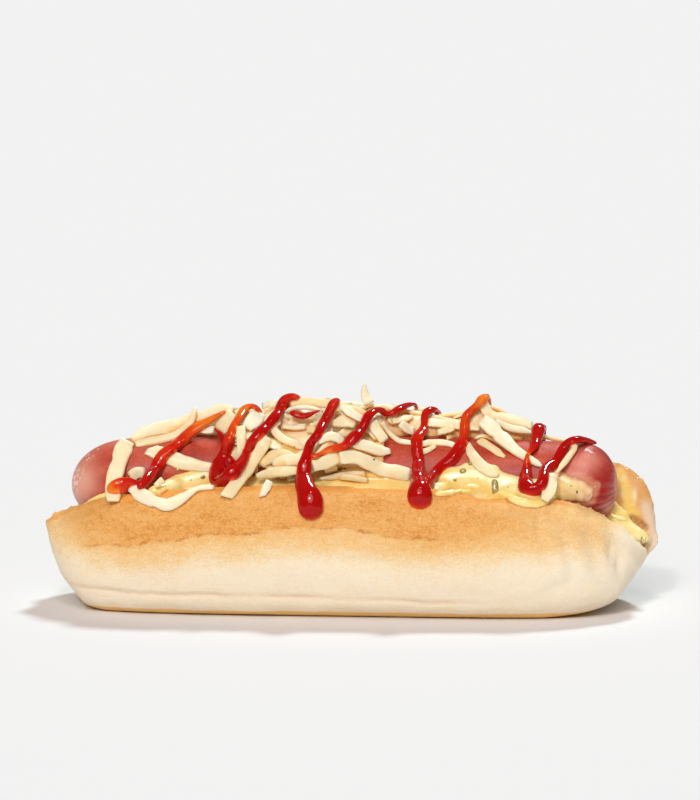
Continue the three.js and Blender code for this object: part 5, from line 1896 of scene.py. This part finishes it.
for o, mat, node, slot in (
    (bun, bread(), "bun", "bread"),
    (sausage, casing(), "sausage", "sausage"),
    (sauce, mustard(), "relish_sauce", "sauce"),
    (shreds, cheese(), "shredded_cheese", "cheese"),
    (core, cheese(), "", "cheese"),
    (ketchup, tomato(), "ketchup", "ketchup"),
    (pickle, gherkin(), "", "sauce"),
    (fleck, flecks(), "", "sauce"),
):
    o.data.materials.clear()
    o.data.materials.append(mat)
    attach(o, "root")
    if node:
        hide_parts(node)
    print(o.name, len(o.data.vertices), "points", sum(len(p.vertices) - 2 for p in o.data.polygons), "triangles")

# ------------------------------------------------------------------------------ floor and light
ring = 96
r = 14000.0
rings = [
    [[q * math.cos(2 * math.pi * j / ring), q * math.sin(2 * math.pi * j / ring), 0.0] for j in range(ring)]
    for q in (60.0, 400.0, 2500.0, r)
]
fv = np.array(rings).reshape(-1, 3)
ff = ring_faces(4, ring).tolist() + [list(range(ring))[::-1]]
floor = outward(mesh_object("floor", fv, ff))
if floor.data.polygons[0].normal.z < 0:
    floor.data.flip_normals()
floor.data.materials.append(studio_floor())


def sun(name, toward, colour, power, spread):
    """Light that travels from the direction `toward` (x, y, z) to the object."""
    data = bpy.data.lights.new(name, "SUN")
    data.energy = power
    data.color = colour
    data.angle = math.radians(spread)
    o = bpy.data.objects.new(name, data)
    scene.collection.objects.link(o)
    o.rotation_euler = Vector(toward).to_track_quat("Z", "Y").to_euler()
    return o


sun("key", (0.3, 0.85, 1.35), (0.8, 0.965, 1.0), 2.05, 9)
sun("front", (-0.08, -1.0, 0.76), (1.0, 0.95, 0.92), 1.15, 32)
sun("front_small", (-0.2, -1.0, 0.72), (1.0, 0.95, 0.92), 0.77, 5)
sun("front_high", (0.05, -1.0, 1.9), (1.0, 0.95, 0.92), 0.4, 8)

world = bpy.data.worlds.new("studio")
scene.world = world
world.use_nodes = True
nt = world.node_tree
nt.nodes.clear()
wo = nt.nodes.new("ShaderNodeOutputWorld")
mixer = nt.nodes.new("ShaderNodeMixShader")
soft = nt.nodes.new("ShaderNodeBackground")
soft.inputs[0].default_value = (1.0, 0.72, 0.62, 1)
soft.inputs[1].default_value = 0.22
seen = nt.nodes.new("ShaderNodeBackground")
seen.inputs[0].default_value = (0.888, 0.888, 0.888, 1)
seen.inputs[1].default_value = 1.0
path = nt.nodes.new("ShaderNodeLightPath")
nt.links.new(path.outputs["Is Camera Ray"], mixer.inputs[0])
nt.links.new(soft.outputs[0], mixer.inputs[1])
nt.links.new(seen.outputs[0], mixer.inputs[2])
nt.links.new(mixer.outputs[0], wo.inputs[0])

scene.view_settings.view_transform = "Standard"
scene.view_settings.look = "None"
scene.view_settings.exposure = 0
scene.view_settings.gamma = 1
